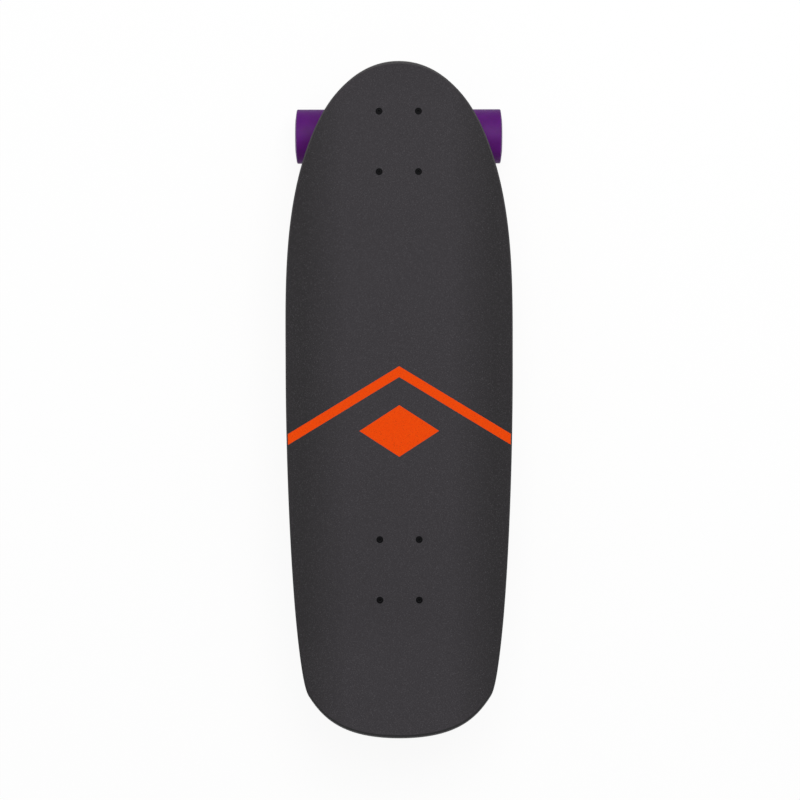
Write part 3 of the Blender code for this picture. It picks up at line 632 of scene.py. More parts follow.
def cut_across(bm, faces, place, normal):
    edges = {edge for face in faces for edge in face.edges}
    points = {point for face in faces for point in face.verts}
    bmesh.ops.bisect_plane(bm, geom=list(faces) + list(edges) + list(points), plane_co=place,
                           plane_no=normal, dist=JOIN)


def cut_into_strips(bm):
    for x in SIDE_CUTS:
        cut_across(bm, bm.faces[:], (x, 0, 0), (1, 0, 0))
    for y in LENGTH_CUTS:
        cut_across(bm, bm.faces[:], (0, y, 0), (0, 1, 0))


def flat_faces(bm, side):
    """The faces that look straight up (side 1) or down (side -1)."""
    bm.normal_update()
    return [face for face in bm.faces if side * face.normal.z > FLAT]


def draw_deck():
    bm = outline_face.copy()
    raised(bm, bm.faces[:], DECK_THICKNESS)
    bmesh.ops.recalc_face_normals(bm, faces=bm.faces)
    for side, width, segments in ((1, TOP_ROUND, 4), (-1, BOTTOM_ROUND, 6)):
        rim = list({edge for face in flat_faces(bm, side) for edge in face.edges})
        rounded(bm, rim, width, segments)
        bmesh.ops.inset_region(bm, faces=flat_faces(bm, side), thickness=RING_INSIDE, use_even_offset=True)
    cut_into_strips(bm)
    return bm


deck_drawing = draw_deck()
print("The blank is cut into", len(deck_drawing.faces), "faces")

# %% [markdown]
# Each truck hangs on four countersunk bolts, in the hole pattern that all such trucks share. The bolts
# stand in the flat middle of the board, so their holes can be drilled before it is bent. The drill is
# turned in one piece: the shaft's hole with the cone for the head above it.
# %% Drill the bolt holes
BOLT_RADIUS = 2.4
HEAD_RADIUS = 3.6
HOLE_PLAY = 0.12
DRILL_ENDS = (-9, 30)
bolt_names = sorted(name for name in nodes if "_bolt_" in name)


def middle_of(node):
    low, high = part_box(node)
    return (low + high) / 2 / MM


def bolt_drill(around, slide):
    """A countersinking drill over a bolt's place. Heights are above the deck's underside."""
    cone_top = DECK_THICKNESS + 0.2
    low, high = DRILL_ENDS
    shaft = BOLT_RADIUS + HOLE_PLAY
    wide = HEAD_RADIUS + HOLE_PLAY
    cone = [(shaft, cone_top - (wide - shaft)), (wide, cone_top)]
    drill = turned([(0, low), (shaft, low), *cone, (wide, high), (0, high)], steps=48)
    return moved(drill, at(around.x, around.y - slide, 0))


ends = [pressed(vertex.co).y for vertex in deck_drawing.verts]
slide = (deck_low.y + deck_high.y) / 2 - (min(ends) + max(ends)) / 2
deck_drawing = drilled(deck_drawing, *(bolt_drill(middle_of(name), slide) for name in bolt_names))
on_the_board = at(0, slide, deck_low.z)
print(f"{len(bolt_names)} holes drilled, and the blank lies {slide:.2f} mm along Y")

# %% [markdown]
# ## Maple, ply by ply
# Hard maple is pale and quiet: fine fibres along the board, and faint wide waves of colour. The bottom
# veneer keeps that colour, and the six above it are dyed charcoal, so the edge looks dark from above.
# Thin lines of glue part the plies, and the two that lie crosswise show coarser end grain. The ply is
# worked out from the height in the drawing, so on the filed rim the plies run as contour lines by
# themselves. Clear lacquer is a coat over it all. The rim is painted darker from nose to tail: painted
# shade for the end that faces away from the light.
# %% Finish: lacquered maple
PLIES = 7
CROSS_PLIES = (2, 4)
# The colour of the painted shade that darkens the rim towards the tail, which faces away from the light.
PAINTED_TAIL_SHADE = (18, 18, 20)
TAIL_TO_NOSE = (-350, 340)


def make_maple():
    """Natural wood in the bottom ply, dyed wood above it, and painted shade towards the tail."""
    finish = Finish("lacquered_maple", Specular_IOR_Level=0.22, Coat_Roughness=0.16)
    _, along, height = finish.axes()
    fibres = finish.noise((1.6, 0.035, 0.6), 4.0, 0.6)
    figure = finish.noise((0.045, 0.0035, 0.1), 3.0, 0.55)
    flecks = finish.noise((0.9, 0.12, 0.9))
    ply = height / (DECK_THICKNESS / PLIES)
    glue = finish.between(abs(ply % 1 - 0.5), 0.42, 0.49) * (height > 0.3)
    crosswise = sum(abs(ply - (number + 0.5)) < 0.5 for number in CROSS_PLIES)
    pores = finish.noise((2.4, 2.4, 0.5), 3.0, 0.7)
    wood = finish.mix(finish.between(figure, 0.35, 0.68), (222, 184, 134), (205, 160, 108))
    wood = finish.mix(finish.between(fibres, 0.4, 0.7) * 0.35, wood, (172, 124, 78))
    wood = finish.mix(finish.between(flecks, 0.62, 0.74) * 0.3, wood, (150, 101, 60))
    dyed = height > DECK_THICKNESS / PLIES
    dye = finish.mix(finish.spread(fibres), (47, 46, 48), (64, 62, 63))
    dye = finish.mix(crosswise * finish.between(pores, 0.35, 0.65, 0.3, 0.9), dye, (36, 35, 36))
    # Painted shade: the dyed plies grow darker towards the tail, away from the light.
    dye = finish.mix(finish.between(along, *TAIL_TO_NOSE, 0.75, 0.0), dye, PAINTED_TAIL_SHADE)
    wood = finish.mix(dyed, wood, dye)
    wood = finish.mix(glue * 0.7, wood, (40, 36, 34))
    finish.feed({"Coat Weight": 0.35 - dyed * 0.3})
    return finish.made(wood, finish.spread(fibres, 0.42, 0.58) + dyed * 0.12, finish.bump(fibres, 0.03))


maple = make_maple()
print("Maple nodes:", len(maple.node_tree.nodes))

# %% Set the deck down
deck = set_down("deck", deck_drawing, [maple], on_the_board, reshape=pressed)
tell("Deck", [deck])

# %% [markdown]
# ## Grip tape
# The board is covered with one sheet of printed grit. It is stuck on oversize, filed round the rim until
# the edge breaks, and cut off with a blade. That leaves a narrow sloping band, where the grit is worn
# away to its paler binder, and it is what draws the thin light line round the nose. Three insets of the
# outline give that band its slope; what the first of them leaves outside is cut off. The orange print is
# cut into the sheet as faces of its own, because its edges have to stay sharp at any size.
# %% Draw the grip sheet
GRIP_THICKNESS = 0.9
GRIP_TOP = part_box("grip_tape")[0].z / MM + GRIP_THICKNESS - deck_low.z
# The filed rim from outside to inside: distance from the last line, and height of sheet and underside.
FILED_RIM = ((0.35, DECK_THICKNESS - 0.42, DECK_THICKNESS - 0.5),
             (0.4, DECK_THICKNESS + 0.3, DECK_THICKNESS - 0.2),
             (0.75, GRIP_TOP, DECK_THICKNESS + 0.02))
STRIPE_SLOPE = 0.609
STRIPE_APEX = 29.0
STRIPE_HALF_HEIGHT = 5.7
DIAMOND_CENTRE = -33.3
DIAMOND_HALF_WIDTH = 41.8
DIAMOND_HALF_HEIGHT = 27.1
BARE_GRIT, PRINTED_GRIT, FILED_GRIT = range(3)


def draw_grip():
    bm = outline_face.copy()
    for number, (distance, height, _) in enumerate(FILED_RIM):
        inner = max(bm.faces, key=lambda face: face.calc_area())
        ring = bmesh.ops.inset_region(bm, faces=[inner], thickness=distance, use_even_offset=True,
                                      use_boundary=True)["faces"]
        for face in ring:
            face.material_index = FILED_GRIT
        for point in inner.verts:
            point.co.z = height
        if number == 0:
            bmesh.ops.delete(bm, geom=ring, context="FACES")
    undersides = {height: under for _, height, under in FILED_RIM}
    for point in raised(bm, bm.faces[:], 0):
        nearest = min(undersides, key=lambda height: abs(height - point.co.z))
        point.co.z = undersides[nearest]
    bmesh.ops.recalc_face_normals(bm, faces=bm.faces)
    cut_into_strips(bm)
    return bm


def print_lines():
    """The straight edges of the print, as where each crosses the middle, its slope and its reach."""
    slope = DIAMOND_HALF_HEIGHT / DIAMOND_HALF_WIDTH
    return [(STRIPE_APEX + STRIPE_HALF_HEIGHT, -STRIPE_SLOPE, HALF_WIDTH),
            (STRIPE_APEX - STRIPE_HALF_HEIGHT, -STRIPE_SLOPE, HALF_WIDTH),
            (DIAMOND_CENTRE + DIAMOND_HALF_HEIGHT, -slope, FLAT_HALF_WIDTH),
            (DIAMOND_CENTRE - DIAMOND_HALF_HEIGHT, slope, FLAT_HALF_WIDTH)]


def in_print(point):
    across = abs(point.x)
    on_stripe = abs(point.y - (STRIPE_APEX - STRIPE_SLOPE * across)) < STRIPE_HALF_HEIGHT
    in_diamond = across / DIAMOND_HALF_WIDTH + abs(point.y - DIAMOND_CENTRE) / DIAMOND_HALF_HEIGHT < 1
    return on_stripe or in_diamond


def cut_print(bm):
    for side in (-1, 1):
        for middle, slope, reach in print_lines():
            half = [face for face in bm.faces if 0 < side * face.calc_center_median().x < reach]
            cut_across(bm, half, (0, middle, 0), (-slope * side, 1, 0))
    for face in bm.faces:
        if face.material_index == BARE_GRIT and in_print(face.calc_center_median()):
            face.material_index = PRINTED_GRIT
    return bm


grip_drawing = cut_print(draw_grip())
grip_drawing = drilled(grip_drawing, *(bolt_drill(middle_of(name), slide) for name in bolt_names))
print("The grip sheet has", len(grip_drawing.faces), "faces")

# %% [markdown]
# Grit is silicon carbide, about 0.4 mm a grain, set in black resin. Each grain is a cell of a Voronoi
# pattern: its random colour says how dark and how shiny it is, the palest partly as a painted glint,
# and its distance from the cell's middle makes the bump. The sides are painted darker than the middle,
# in soft patches: painted shade.
# The print is ink on the same grit, so it shares the relief and shows dark grains through the colour.
# %% Finish: grit, bare, printed and filed
GRAIN_SIZE = 0.36


def grit(finish):
    """What every grip finish needs: each grain's random share, clumps of grains, and the relief."""
    jumbled = finish.add("ShaderNodeSeparateXYZ", sockets={0: finish.grains(1 / GRAIN_SIZE, output=1)})
    clumps = finish.noise(0.9, 3.0, 0.65)
    relief = finish.bump(clumps * 0.6 - finish.grains(1 / GRAIN_SIZE), 0.16)
    return jumbled, clumps, relief


def make_grit():
    finish = Finish("grit", Specular_IOR_Level=0.3)
    jumbled, clumps, relief = grit(finish)
    across = finish.axes()[0]
    # Painted shade: the grit is darker towards both sides than in the middle, in soft patches.
    wear_and_painted_shade = finish.noise(0.012, 3.0, 0.6) * 0.5 + 0.75
    middle = finish.between(abs(across), 55, 100, 1.0, 0.0) * wear_and_painted_shade
    ground = finish.mix(middle, (42, 40, 42), (60, 57, 61))
    ground = finish.mix(finish.spread(clumps, 0.0, 0.35), ground, (43, 41, 43))
    grains = finish.mix(finish.between(jumbled, 0.0, 0.9, 0.4, 0.0), ground, (28, 27, 29))
    # The palest grains: partly the grain's own lighter tone, partly a painted glint.
    grains = finish.mix(finish.between(jumbled, 0.9, 1.0, 0.0, 0.5), grains, (90, 87, 92))
    return finish.made(grains, finish.between(jumbled, 0.9, 1.0, 0.9, 0.5), relief)


def make_print():
    finish = Finish("printed_grit", Specular_IOR_Level=0.12)
    jumbled, clumps, relief = grit(finish)
    ink = finish.mix(clumps, (246, 77, 0), (236, 67, 0))
    # The brightest grains: partly the grain's own lighter tone, partly a painted glint.
    ink = finish.mix(finish.between(jumbled, 0.9, 1.0, 0.0, 0.5), ink, (255, 114, 20))
    ink = finish.mix(finish.between(jumbled, 0.0, 0.07, 0.6, 0.0), ink, (70, 30, 16))
    return finish.made(ink, 0.85, relief)


def make_filed():
    finish = Finish("filed_grit", Specular_IOR_Level=0.25)
    jumbled, clumps, relief = grit(finish)
    streaks = finish.noise((0.5, 0.5, 4), 3.0)
    wear_and_painted_shade = finish.mix(streaks, (58, 56, 58), (80, 78, 80))
    wear_and_painted_shade = finish.mix(finish.between(jumbled, 0.75, 1.0, 0.0, 0.4), wear_and_painted_shade, (40, 38, 40))
    # Painted shade: the filed band grows darker towards the tail, away from the light.
    wear_and_painted_shade = finish.mix(finish.between(finish.axes()[1], *TAIL_TO_NOSE, 0.8, 0.0), wear_and_painted_shade, PAINTED_TAIL_SHADE)
    return finish.made(wear_and_painted_shade, 0.75, relief)


grip_finishes = [make_grit(), make_print(), make_filed()]
grip = set_down("grip_tape", grip_drawing, grip_finishes, on_the_board, reshape=pressed)
tell("Grip", [grip])

# %% [markdown]
# ## Threads, bolts and lock nuts
# Only a turn or two of each thread shows past its nut. A true helix costs many faces and is hard to
# close, and rings of the same pitch look the same at this size, so a thread is a zigzag in the section.
# A lock nut is a hexagon bar turned to a chamfer, so we draw both and keep what they share. Its collar
# holds a ring of nylon, which grips the thread.
# %% Draw a bolt and a lock nut
HEAD_LIP = 0.3
BOLT_LENGTH = 31.5
BOLT_THREAD = {"start": -19.5, "pitch": 0.8, "depth": 0.3}
SOCKET_CORNER = 1.85
SOCKET_DEPTH = 2.0
NUT_CORNER = 5.5
NUT_HEIGHT = 5.88
THREAD_PLAY = 0.03
HEXAGON_FLAT = math.cos(math.radians(30))
NYLON = 1


def thread(radius, start, end, pitch, depth):
    """The zigzag of a thread along a shaft, from one height to another, as section corners."""
    step = math.copysign(pitch, end - start)
    crests = [start + step * number for number in range(int(abs(end - start) / pitch))]
    return [corner for crest in crests for corner in ((radius, crest), (radius - depth, crest + step / 2))]


def draw_bolt():
    """A countersunk bolt that hangs from its head's top at height 0."""
    tip = -BOLT_LENGTH
    head = [(0, 0), (HEAD_RADIUS, 0, 0.12), (HEAD_RADIUS, -HEAD_LIP, 0.08),
            (BOLT_RADIUS, BOLT_RADIUS - HEAD_RADIUS - HEAD_LIP, 0.2)]
    rings = thread(BOLT_RADIUS, end=tip + 0.6, **BOLT_THREAD)
    point = [(BOLT_RADIUS - 0.3, tip + 0.5), (BOLT_RADIUS - 0.7, tip), (0, tip)]
    return drilled(turned(head + rings + point, steps=48), prism(6, SOCKET_CORNER, -SOCKET_DEPTH, 1))


def draw_lock_nut(corner, height, bore):
    """A lock nut with its seat at height 0 and its collar up."""
    flat = corner * HEXAGON_FLAT
    outside = 1.01 * corner
    face = 0.94 * flat
    collar = 0.84 * flat
    pocket = (bore + collar) / 2
    shoulder = 0.7 * height
    floor = 0.75 * height
    chamfer = (corner - face) * math.tan(math.radians(30))
    envelope = turned([(0, 0), (face, 0), (outside, chamfer), (outside, shoulder - chamfer),
                       (face, shoulder), (collar, shoulder), (collar, height, 0.9), (0, height)], steps=72)
    hole = turned([(0, -1), (bore + 0.5, -1), (bore, 0.5), (bore, floor), (pocket, floor),
                   (pocket, height - 0.4), (pocket - 0.25, height + 1), (0, height + 1)], steps=64)
    ring = turned([(bore - 0.05, floor), (pocket, floor), (pocket, height - 0.5, 0.2),
                   (bore + 0.1, height - 0.35, 0.3), (bore - 0.05, height - 0.9)], bored=True, steps=64)
    nut = drilled(shared(prism(6, corner, 0, height), envelope), hole)
    return gathered(nut, marked(ring, NYLON))


bolt_drawing = draw_bolt()
nut_drawing = draw_lock_nut(NUT_CORNER, NUT_HEIGHT, BOLT_RADIUS + THREAD_PLAY)
print("Bolt:", len(bolt_drawing.faces), "faces, lock nut:", len(nut_drawing.faces), "faces")

# %% [markdown]
# The bolts are black oxide steel, nearly black and only a little shiny, with bare steel where keys have
# turned in their sockets. The nuts are zinc plated: pale, slightly blue, and mottled by the bath.
# %% Finish: black oxide, zinc and nylon


def make_black_oxide():
    finish = Finish("black_oxide", Specular_IOR_Level=0.06)
    cloud = finish.noise(1.2, 3.0, 0.6)
    reach, _ = finish.turning()
    wear_and_painted_shade = finish.between(abs(reach - SOCKET_CORNER), 0.0, 0.22, 0.4, 0.0) * finish.between(cloud, 0.5, 0.6)
    colour = finish.mix(cloud, (5, 5, 7), (12, 12, 14))
    colour = finish.mix(wear_and_painted_shade, colour, (48, 46, 45))
    return finish.made(colour, finish.spread(cloud, 0.5, 0.7), finish.bump(cloud, 0.02))


def make_zinc():
    finish = Finish("zinc_plate", Metallic=1.0)
    bath = finish.noise(0.25, 3.0, 0.6)
    fine = finish.noise(3.0)
    colour = finish.mix(bath, (176, 180, 188), (148, 152, 158))
    colour = finish.mix(finish.between(fine, 0.62, 0.75, 0.0, 0.35), colour, (118, 117, 112))
    return finish.made(colour, finish.spread(bath, 0.24, 0.4), finish.bump(fine, 0.012))


def make_nylon():
    finish = Finish("nylon_ring", Subsurface_Weight=0.1)
    cloud = finish.noise(1.5)
    colour = finish.mix(cloud, (224, 222, 212), (206, 204, 194))
    return finish.made(colour, 0.42, finish.bump(cloud, 0.03))


black_oxide = make_black_oxide()
zinc = make_zinc()
nylon = make_nylon()
print("Three finishes for the fasteners")

# %% Fasten the trucks
HEAD_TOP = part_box(bolt_names[0])[1].z / MM
# The plain nuts stop this far short of the plate that the finer ones sit on.
NUT_GAP = 0.28
PLATE_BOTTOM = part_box("front_nut_nose_left")[1].z / MM + NUT_GAP
UPSIDE_DOWN = rotation(180, "X")
# Each fastener is turned on from the last one by this angle, so that no two stand alike.
TURN_BETWEEN = 37

fasteners = []
for number, bolt in enumerate(bolt_names):
    spot = middle_of(bolt)
    turn = rotation(number * TURN_BETWEEN)
    nut = bolt.replace("_bolt_", "_nut_")
    fasteners.append(set_down(bolt, bolt_drawing, [black_oxide],
                              at(spot.x, spot.y, HEAD_TOP) @ turn))
    fasteners.append(set_down(nut, nut_drawing, [zinc, nylon],
                              at(spot.x, spot.y, PLATE_BOTTOM) @ UPSIDE_DOWN @ turn))
tell("Bolts and nuts", fasteners)

# %% [markdown]
# ## A truck, drawn about its pivot
# A truck steers because its hanger turns about a slanted line, from the ball in the pivot cup to the
# middle of the kingpin ring. So the ring's middle is the natural place to draw from: Y points outboard,
# towards the near end of the board, and Z up. The frame's joint tells where that point is and which way
# each truck faces, and one matrix sets the same drawings down at the nose and, turned round, at the tail.
# %% The truck's measures
KINGPIN_LEAN = rotation(-24, "X")
AXLE_LINE = Vector((0, 26.04, -17.70))
BALL_MIDDLE = Vector((0, 41.94, 22.30))
AT_AXLE = at(*AXLE_LINE)
AT_BALL = at(*BALL_MIDDLE) @ rotation(-30, "X")
PLATE_MIDDLE = 14.44
AT_PLATE = at(0, PLATE_MIDDLE, 0)
PLATE_TOP = 35.30
PLATE_THICKNESS = 6
ALONG_X = rotation(90, "Y")
# A cutter this long reaches past all of a truck.
PAST_ALL = 60
TRUCKS = ("front", "rear")


def at_joint(name):
    return at(*(Vector(joints[name]["pos_m"]) / MM))


def truck_place(truck):
    facing = 0 if joints[f"{truck}_lean"]["axis"][1] > 0 else 180
    return at_joint(f"{truck}_lean") @ rotation(facing)


def set_down_twice(part, drawing, finishes):
    """The same drawing in both trucks."""
    return [set_down(f"{truck}_{part}", drawing, finishes, truck_place(truck))
            for truck in TRUCKS]


print("The kingpin rings' middles are at", [tuple(joints[f"{truck}_lean"]["pos_m"]) for truck in TRUCKS])

# %% [markdown]
# ## Hanger
# The hanger is one aluminium casting: a housing round the axle, a web and a neck that run up into the
# kingpin ring, and a stem that ends in the pivot ball. Each of these is a simple solid here. They are
# grown together, cast, and then machined: the ring is bored and recessed for the bushings, the ball is
# turned, and the ends are faced where the bearings come up against them.
# %% Draw the hanger
HANGER_HALF = 75
HOUSING = [(0, HANGER_HALF), (9.2, HANGER_HALF), (9.2, 69), (8.3, 64), (8.6, 52), (10.4, 28), (10.8, 0)]
RING_RADIUS = 17
RING_HALF = 5
RING_BORE = 6.6
RECESS_RADIUS = 12.9
RECESS_FLOOR = 3.5
RECESS_EASE = 0.4
RING_ROUNDING = 1.2
BALL_RADIUS = 6.2
STEM = [(0, 0), (4.6, -2), (5.2, -6), (6.6, -12), (9.2, -22), (10, -42), (0, -42)]
# Three flat arms: the right half of each outline, and where its two faces lie. The neck stops 5 mm
# short of the kingpin's middle.
WEB = [(50, 3), (46, -3), (31, -8), (21, -16), (16.5, -26)]
WEB_FACES = (-5.4, 5.4)
NECK = [(13.5, 5 - AXLE_LINE.length), (24, 0)]
NECK_FACES = (-6.6, 6.4)
GUSSET = [(26, 0), (9, 20)]
GUSSET_FACES = (-4, 4)
CAST_GRAIN = 0.8
HANGER_ROUNDS = 26
AXLE_RADIUS = 4
AXLE_PLAY = 0.02
FACED_OFF = 0.05
MACHINED = 1


def draw_ring(rounding=0):
    return moved(turned(mirrored([(0, RING_HALF), (RING_RADIUS, RING_HALF, rounding)])), KINGPIN_LEAN)


def draw_hanger():
    towards_ring = AT_AXLE @ Matrix.Rotation(math.atan2(AXLE_LINE.z, AXLE_LINE.y), 4, "X")
    along_stem = AT_AXLE @ rotation(60, "X")
    housing = moved(turned(mirrored(HOUSING), steps=64), AT_AXLE @ ALONG_X)
    web = moved(sawn(both_sides(WEB), *WEB_FACES), towards_ring)
    neck = moved(sawn(both_sides(NECK), *NECK_FACES), towards_ring)
    gusset = moved(sawn(both_sides(GUSSET), *GUSSET_FACES), along_stem)
    stem = moved(turned(STEM, steps=48), AT_BALL)
    body = cast(joined(housing, draw_ring(), web, neck, gusset, stem), CAST_GRAIN, HANGER_ROUNDS)
    ball = bmesh.new()
    bmesh.ops.create_uvsphere(ball, u_segments=64, v_segments=40, radius=BALL_RADIUS)
    return joined(body, draw_ring(RING_ROUNDING), moved(marked(ball, MACHINED), AT_BALL))


def machined_by(body, *tools):
    """The casting after drilling, with the machined finish on all that the tools have cut."""
    return drilled(body, *(marked(tool, MACHINED) for tool in tools))


def machine_hanger(body):
    """Bores and recesses the ring, bores the housing and faces its ends. All cutters start clear of it."""
    recess = [(0, 30), (RECESS_RADIUS, 30), (RECESS_RADIUS, RECESS_FLOOR, RECESS_EASE),
              (RING_BORE, RECESS_FLOOR, RECESS_EASE)]
    ring_cutter = turned(mirrored(recess))
    axle_cutter = turned(mirrored([(0, 90), (AXLE_RADIUS + AXLE_PLAY, 90)]), steps=48)
    facing = block((HANGER_HALF - FACED_OFF, -20, -20), (90, 20, 20))
    facings = [moved(facing.copy(), rotation(180)), facing]
    return machined_by(body, moved(ring_cutter, KINGPIN_LEAN), moved(axle_cutter, AT_AXLE @ ALONG_X),
                       *(moved(tool, AT_AXLE) for tool in facings))


hanger_drawing = machine_hanger(draw_hanger())
print("Hanger:", len(hanger_drawing.faces), "faces")

# %% [markdown]
# A tumbled casting is dull and a little uneven, with tiny pits where gas escaped. Machined faces are
# brighter and show the cutter's fine parallel marks.
# %% Finish: cast and machined aluminium


def make_cast_aluminium():
    finish = Finish("cast_aluminium", Metallic=1.0)
    cloud = finish.noise(0.07, 4.0, 0.6)
    skin = finish.noise(0.8, 4.0, 0.62)
    pits = finish.between(finish.grains(0.55), 0.0, 0.16, 1.0, 0.0) * finish.between(cloud, 0.45, 0.6)
    colour = finish.mix(cloud, (192, 193, 195), (158, 160, 163))
    colour = finish.mix(finish.spread(skin, 0.3, 0.0), colour, (126, 127, 130))
    colour = finish.mix(pits * 0.6, colour, (86, 86, 88))
    return finish.made(colour, finish.spread(skin, 0.36, 0.52), finish.bump(skin - pits * 0.8, 0.09))


def make_machined():
    finish = Finish("machined_aluminium", Metallic=1.0)
    marks = finish.noise((0.5, 0.5, 9.0))
    colour = finish.mix(marks, (214, 215, 217), (186, 188, 190))
    return finish.made(colour, finish.spread(marks, 0.2, 0.32), finish.bump(marks, 0.015))


cast_aluminium = make_cast_aluminium()
machined = make_machined()
hangers = set_down_twice("hanger", hanger_drawing, [cast_aluminium, machined])
tell("Hangers", hangers)

# %% [markdown]
# ## Baseplate
# The baseplate is cast too. Its boss carries the kingpin, its collar holds the pivot cup, and a rib ties
# the two together. The top is milled flat, so everything that the boss pushes past it is cut away.
# %% Draw the baseplate
PLATE_HALF = (27.5, 42)
PLATE_CORNER = 8
BOSS_SEAT = 19.5
BOSS_RADII = (15.2, 24)
BOSS_TOP = 45
SOCKET_RADIUS = 8.85
COLLAR_RADIUS = SOCKET_RADIUS + 3.2
COLLAR_HEIGHT = 11.5
KINGPIN_RADIUS = 4.76
KINGPIN_CORNER = 8.26
KINGPIN_HEAD = (28.3, 33.8)
HOLES_HALF = (20.65, 31.75)
SPARE_HOLE = 22.2
RIB = (4.4, 30)
RIB_HALF = 7
PLATE_ROUNDS = 12
# How much higher the boss and the collar are cast than they are when machined.
MILLED_OFF = 0.6
KINGPIN_PLAY = 0.05
HEAD_PLAY = 0.3
BOLT_PLAY = 0.25
NUT_PLAY = 0.4


def dome(radius, steps=16):
    """The section of a half ball, from its pole down to its equator."""
    angles = [step * math.pi / 2 / steps for step in range(steps + 1)]
    return [(radius * math.sin(angle), radius * math.cos(angle)) for angle in angles]


def plate_holes():
    """Where the truck's four bolts and two spare holes stand, in the truck's drawing."""
    half_x, half_y = HOLES_HALF
    rows = (half_y, -half_y, -SPARE_HOLE)
    return [(side * half_x, PLATE_MIDDLE + row) for row in rows for side in (-1, 1)]


def plate_drills(radius, spots, top):
    """One upright drill at each of the spots."""
    return [moved(prism(40, radius, 0, top), at(x, y, 0)) for x, y in spots]


def draw_baseplate():
    bottom = PLATE_TOP - PLATE_THICKNESS
    low = bottom - 5
    foot = PLATE_TOP - 2
    narrow, wide = BOSS_RADII
    plate = sawn(rounded_rectangle(*PLATE_HALF, PLATE_CORNER), bottom, PLATE_TOP + 3)
    boss = prism(64, narrow, BOSS_SEAT - MILLED_OFF, BOSS_TOP, top_radius=wide)
    collar = prism(64, COLLAR_RADIUS, -MILLED_OFF, COLLAR_HEIGHT)
    lug = prism(64, COLLAR_RADIUS - 0.3, low, foot, top_radius=COLLAR_RADIUS)
    rib = block((-RIB_HALF, RIB[0], low), (RIB_HALF, RIB[1], foot))
    at_lug = at(0, PLATE_MIDDLE + PLATE_HALF[1] - COLLAR_RADIUS, 0)
    body = joined(moved(plate, AT_PLATE), moved(boss, KINGPIN_LEAN), moved(collar, AT_BALL),
                  moved(lug, at_lug), rib)
    return cast(body, CAST_GRAIN, PLATE_ROUNDS)


def machine_baseplate(body):
    bottom = PLATE_TOP - PLATE_THICKNESS + 0.02
    seat = BOSS_RADII[0] - 1.2
    top = block((-PAST_ALL, -PAST_ALL, PLATE_TOP), (PAST_ALL, PAST_ALL, PAST_ALL))
    for_kingpin = [turned([(0, BOSS_SEAT), (seat, BOSS_SEAT, 0.3), (seat, 8), (0, 8)]),
                   prism(48, KINGPIN_RADIUS + KINGPIN_PLAY, 0, PAST_ALL),
                   prism(6, KINGPIN_CORNER + HEAD_PLAY, KINGPIN_HEAD[0], PAST_ALL)]
    for_cup = [turned(dome(SOCKET_RADIUS) + [(SOCKET_RADIUS, -COLLAR_RADIUS), (0, -COLLAR_RADIUS)]),
               prism(64, COLLAR_RADIUS - 0.8, -1.5, 0)]
    return machined_by(body, top, *(moved(tool, KINGPIN_LEAN) for tool in for_kingpin),
                       *(moved(tool, AT_BALL) for tool in for_cup),
                       *plate_drills(BOLT_RADIUS + BOLT_PLAY, plate_holes(), PAST_ALL),
                       *plate_drills(NUT_CORNER + NUT_PLAY, plate_holes()[:4], bottom))


baseplate_drawing = machine_baseplate(draw_baseplate())
baseplates = set_down_twice("baseplate", baseplate_drawing, [cast_aluminium, machined])
tell("Baseplates", baseplates)

# %% [markdown]
# ## Kingpin, washers and bushings
# The kingpin clamps the ring between two urethane bushings, a barrel towards the deck and a cone below.
# Cupped washers hold their outer ends. The bushings are the springs of the truck: one end of each stays
# with the board and the other follows the hanger, so these two pieces cross the joint and ride on neither
# body.
# %% Draw the stack on the kingpin
KINGPIN_TIP = -27
NUT_SEAT = -16.67
NUT_BOTTOM = -24.3
WASHER_WALL = 0.9
LOWER_WASHER = {"back": 19.47, "floor": 17.65, "rim": 13.4, "lip": 2.2}
UPPER_WASHER = {"back": -16.65, "floor": -14.8, "rim": 11, "lip": 1.8}
BUSHING_RADIUS = 12.2
BUSHING_END = 3.53
BARREL_TOP = 17.62
CONE_END = -14.77
CONE_END_RADIUS = 9.2
KINGPIN_BORE = KINGPIN_RADIUS + 0.1
KINGPIN_THREAD = {"start": -9, "pitch": 1.1, "depth": 0.5}


def draw_kingpin():
    low, high = KINGPIN_HEAD
    middle = (low + high) / 2
    rings = thread(KINGPIN_RADIUS, end=KINGPIN_TIP + 1, **KINGPIN_THREAD)
    tip = [(KINGPIN_RADIUS - 0.5, KINGPIN_TIP + 0.8), (KINGPIN_RADIUS - 1.2, KINGPIN_TIP), (0, KINGPIN_TIP)]
    shaft = turned([(0, middle), (KINGPIN_RADIUS, middle)] + rings + tip)
    envelope = turned([(0, low), (KINGPIN_CORNER, low), (KINGPIN_CORNER, high - 0.7),
                       (KINGPIN_CORNER * 0.84, high), (0, high)])
    head = shared(prism(6, KINGPIN_CORNER, low, high), envelope)
    return moved(joined(head, shaft), KINGPIN_LEAN)


def draw_cupped_washer(back, floor, rim, lip):
    """A dished washer pressed from sheet. Its rim points away from its back."""
    edge = floor + math.copysign(lip, floor - back)
    inner = rim - WASHER_WALL
    section = [(KINGPIN_BORE, back), (rim, back, 1.1), (rim, edge, 0.3), (inner, edge, 0.3),
               (inner, floor, 0.5), (KINGPIN_BORE, floor)]
    return moved(turned(section, bored=True), KINGPIN_LEAN)


def draw_bushing(flank, cuts):
    """A bored bushing from its flank's corners, cut across into rings along its length."""
    bores = [(KINGPIN_BORE, corner[1]) for corner in (flank[0], flank[-1])]
    bm = turned([bores[0], *flank, bores[1]], bored=True, ease_steps=8)
    for height in cuts:
        cut_across(bm, bm.faces[:], (0, 0, height), (0, 0, 1))
    return moved(bm, KINGPIN_LEAN)


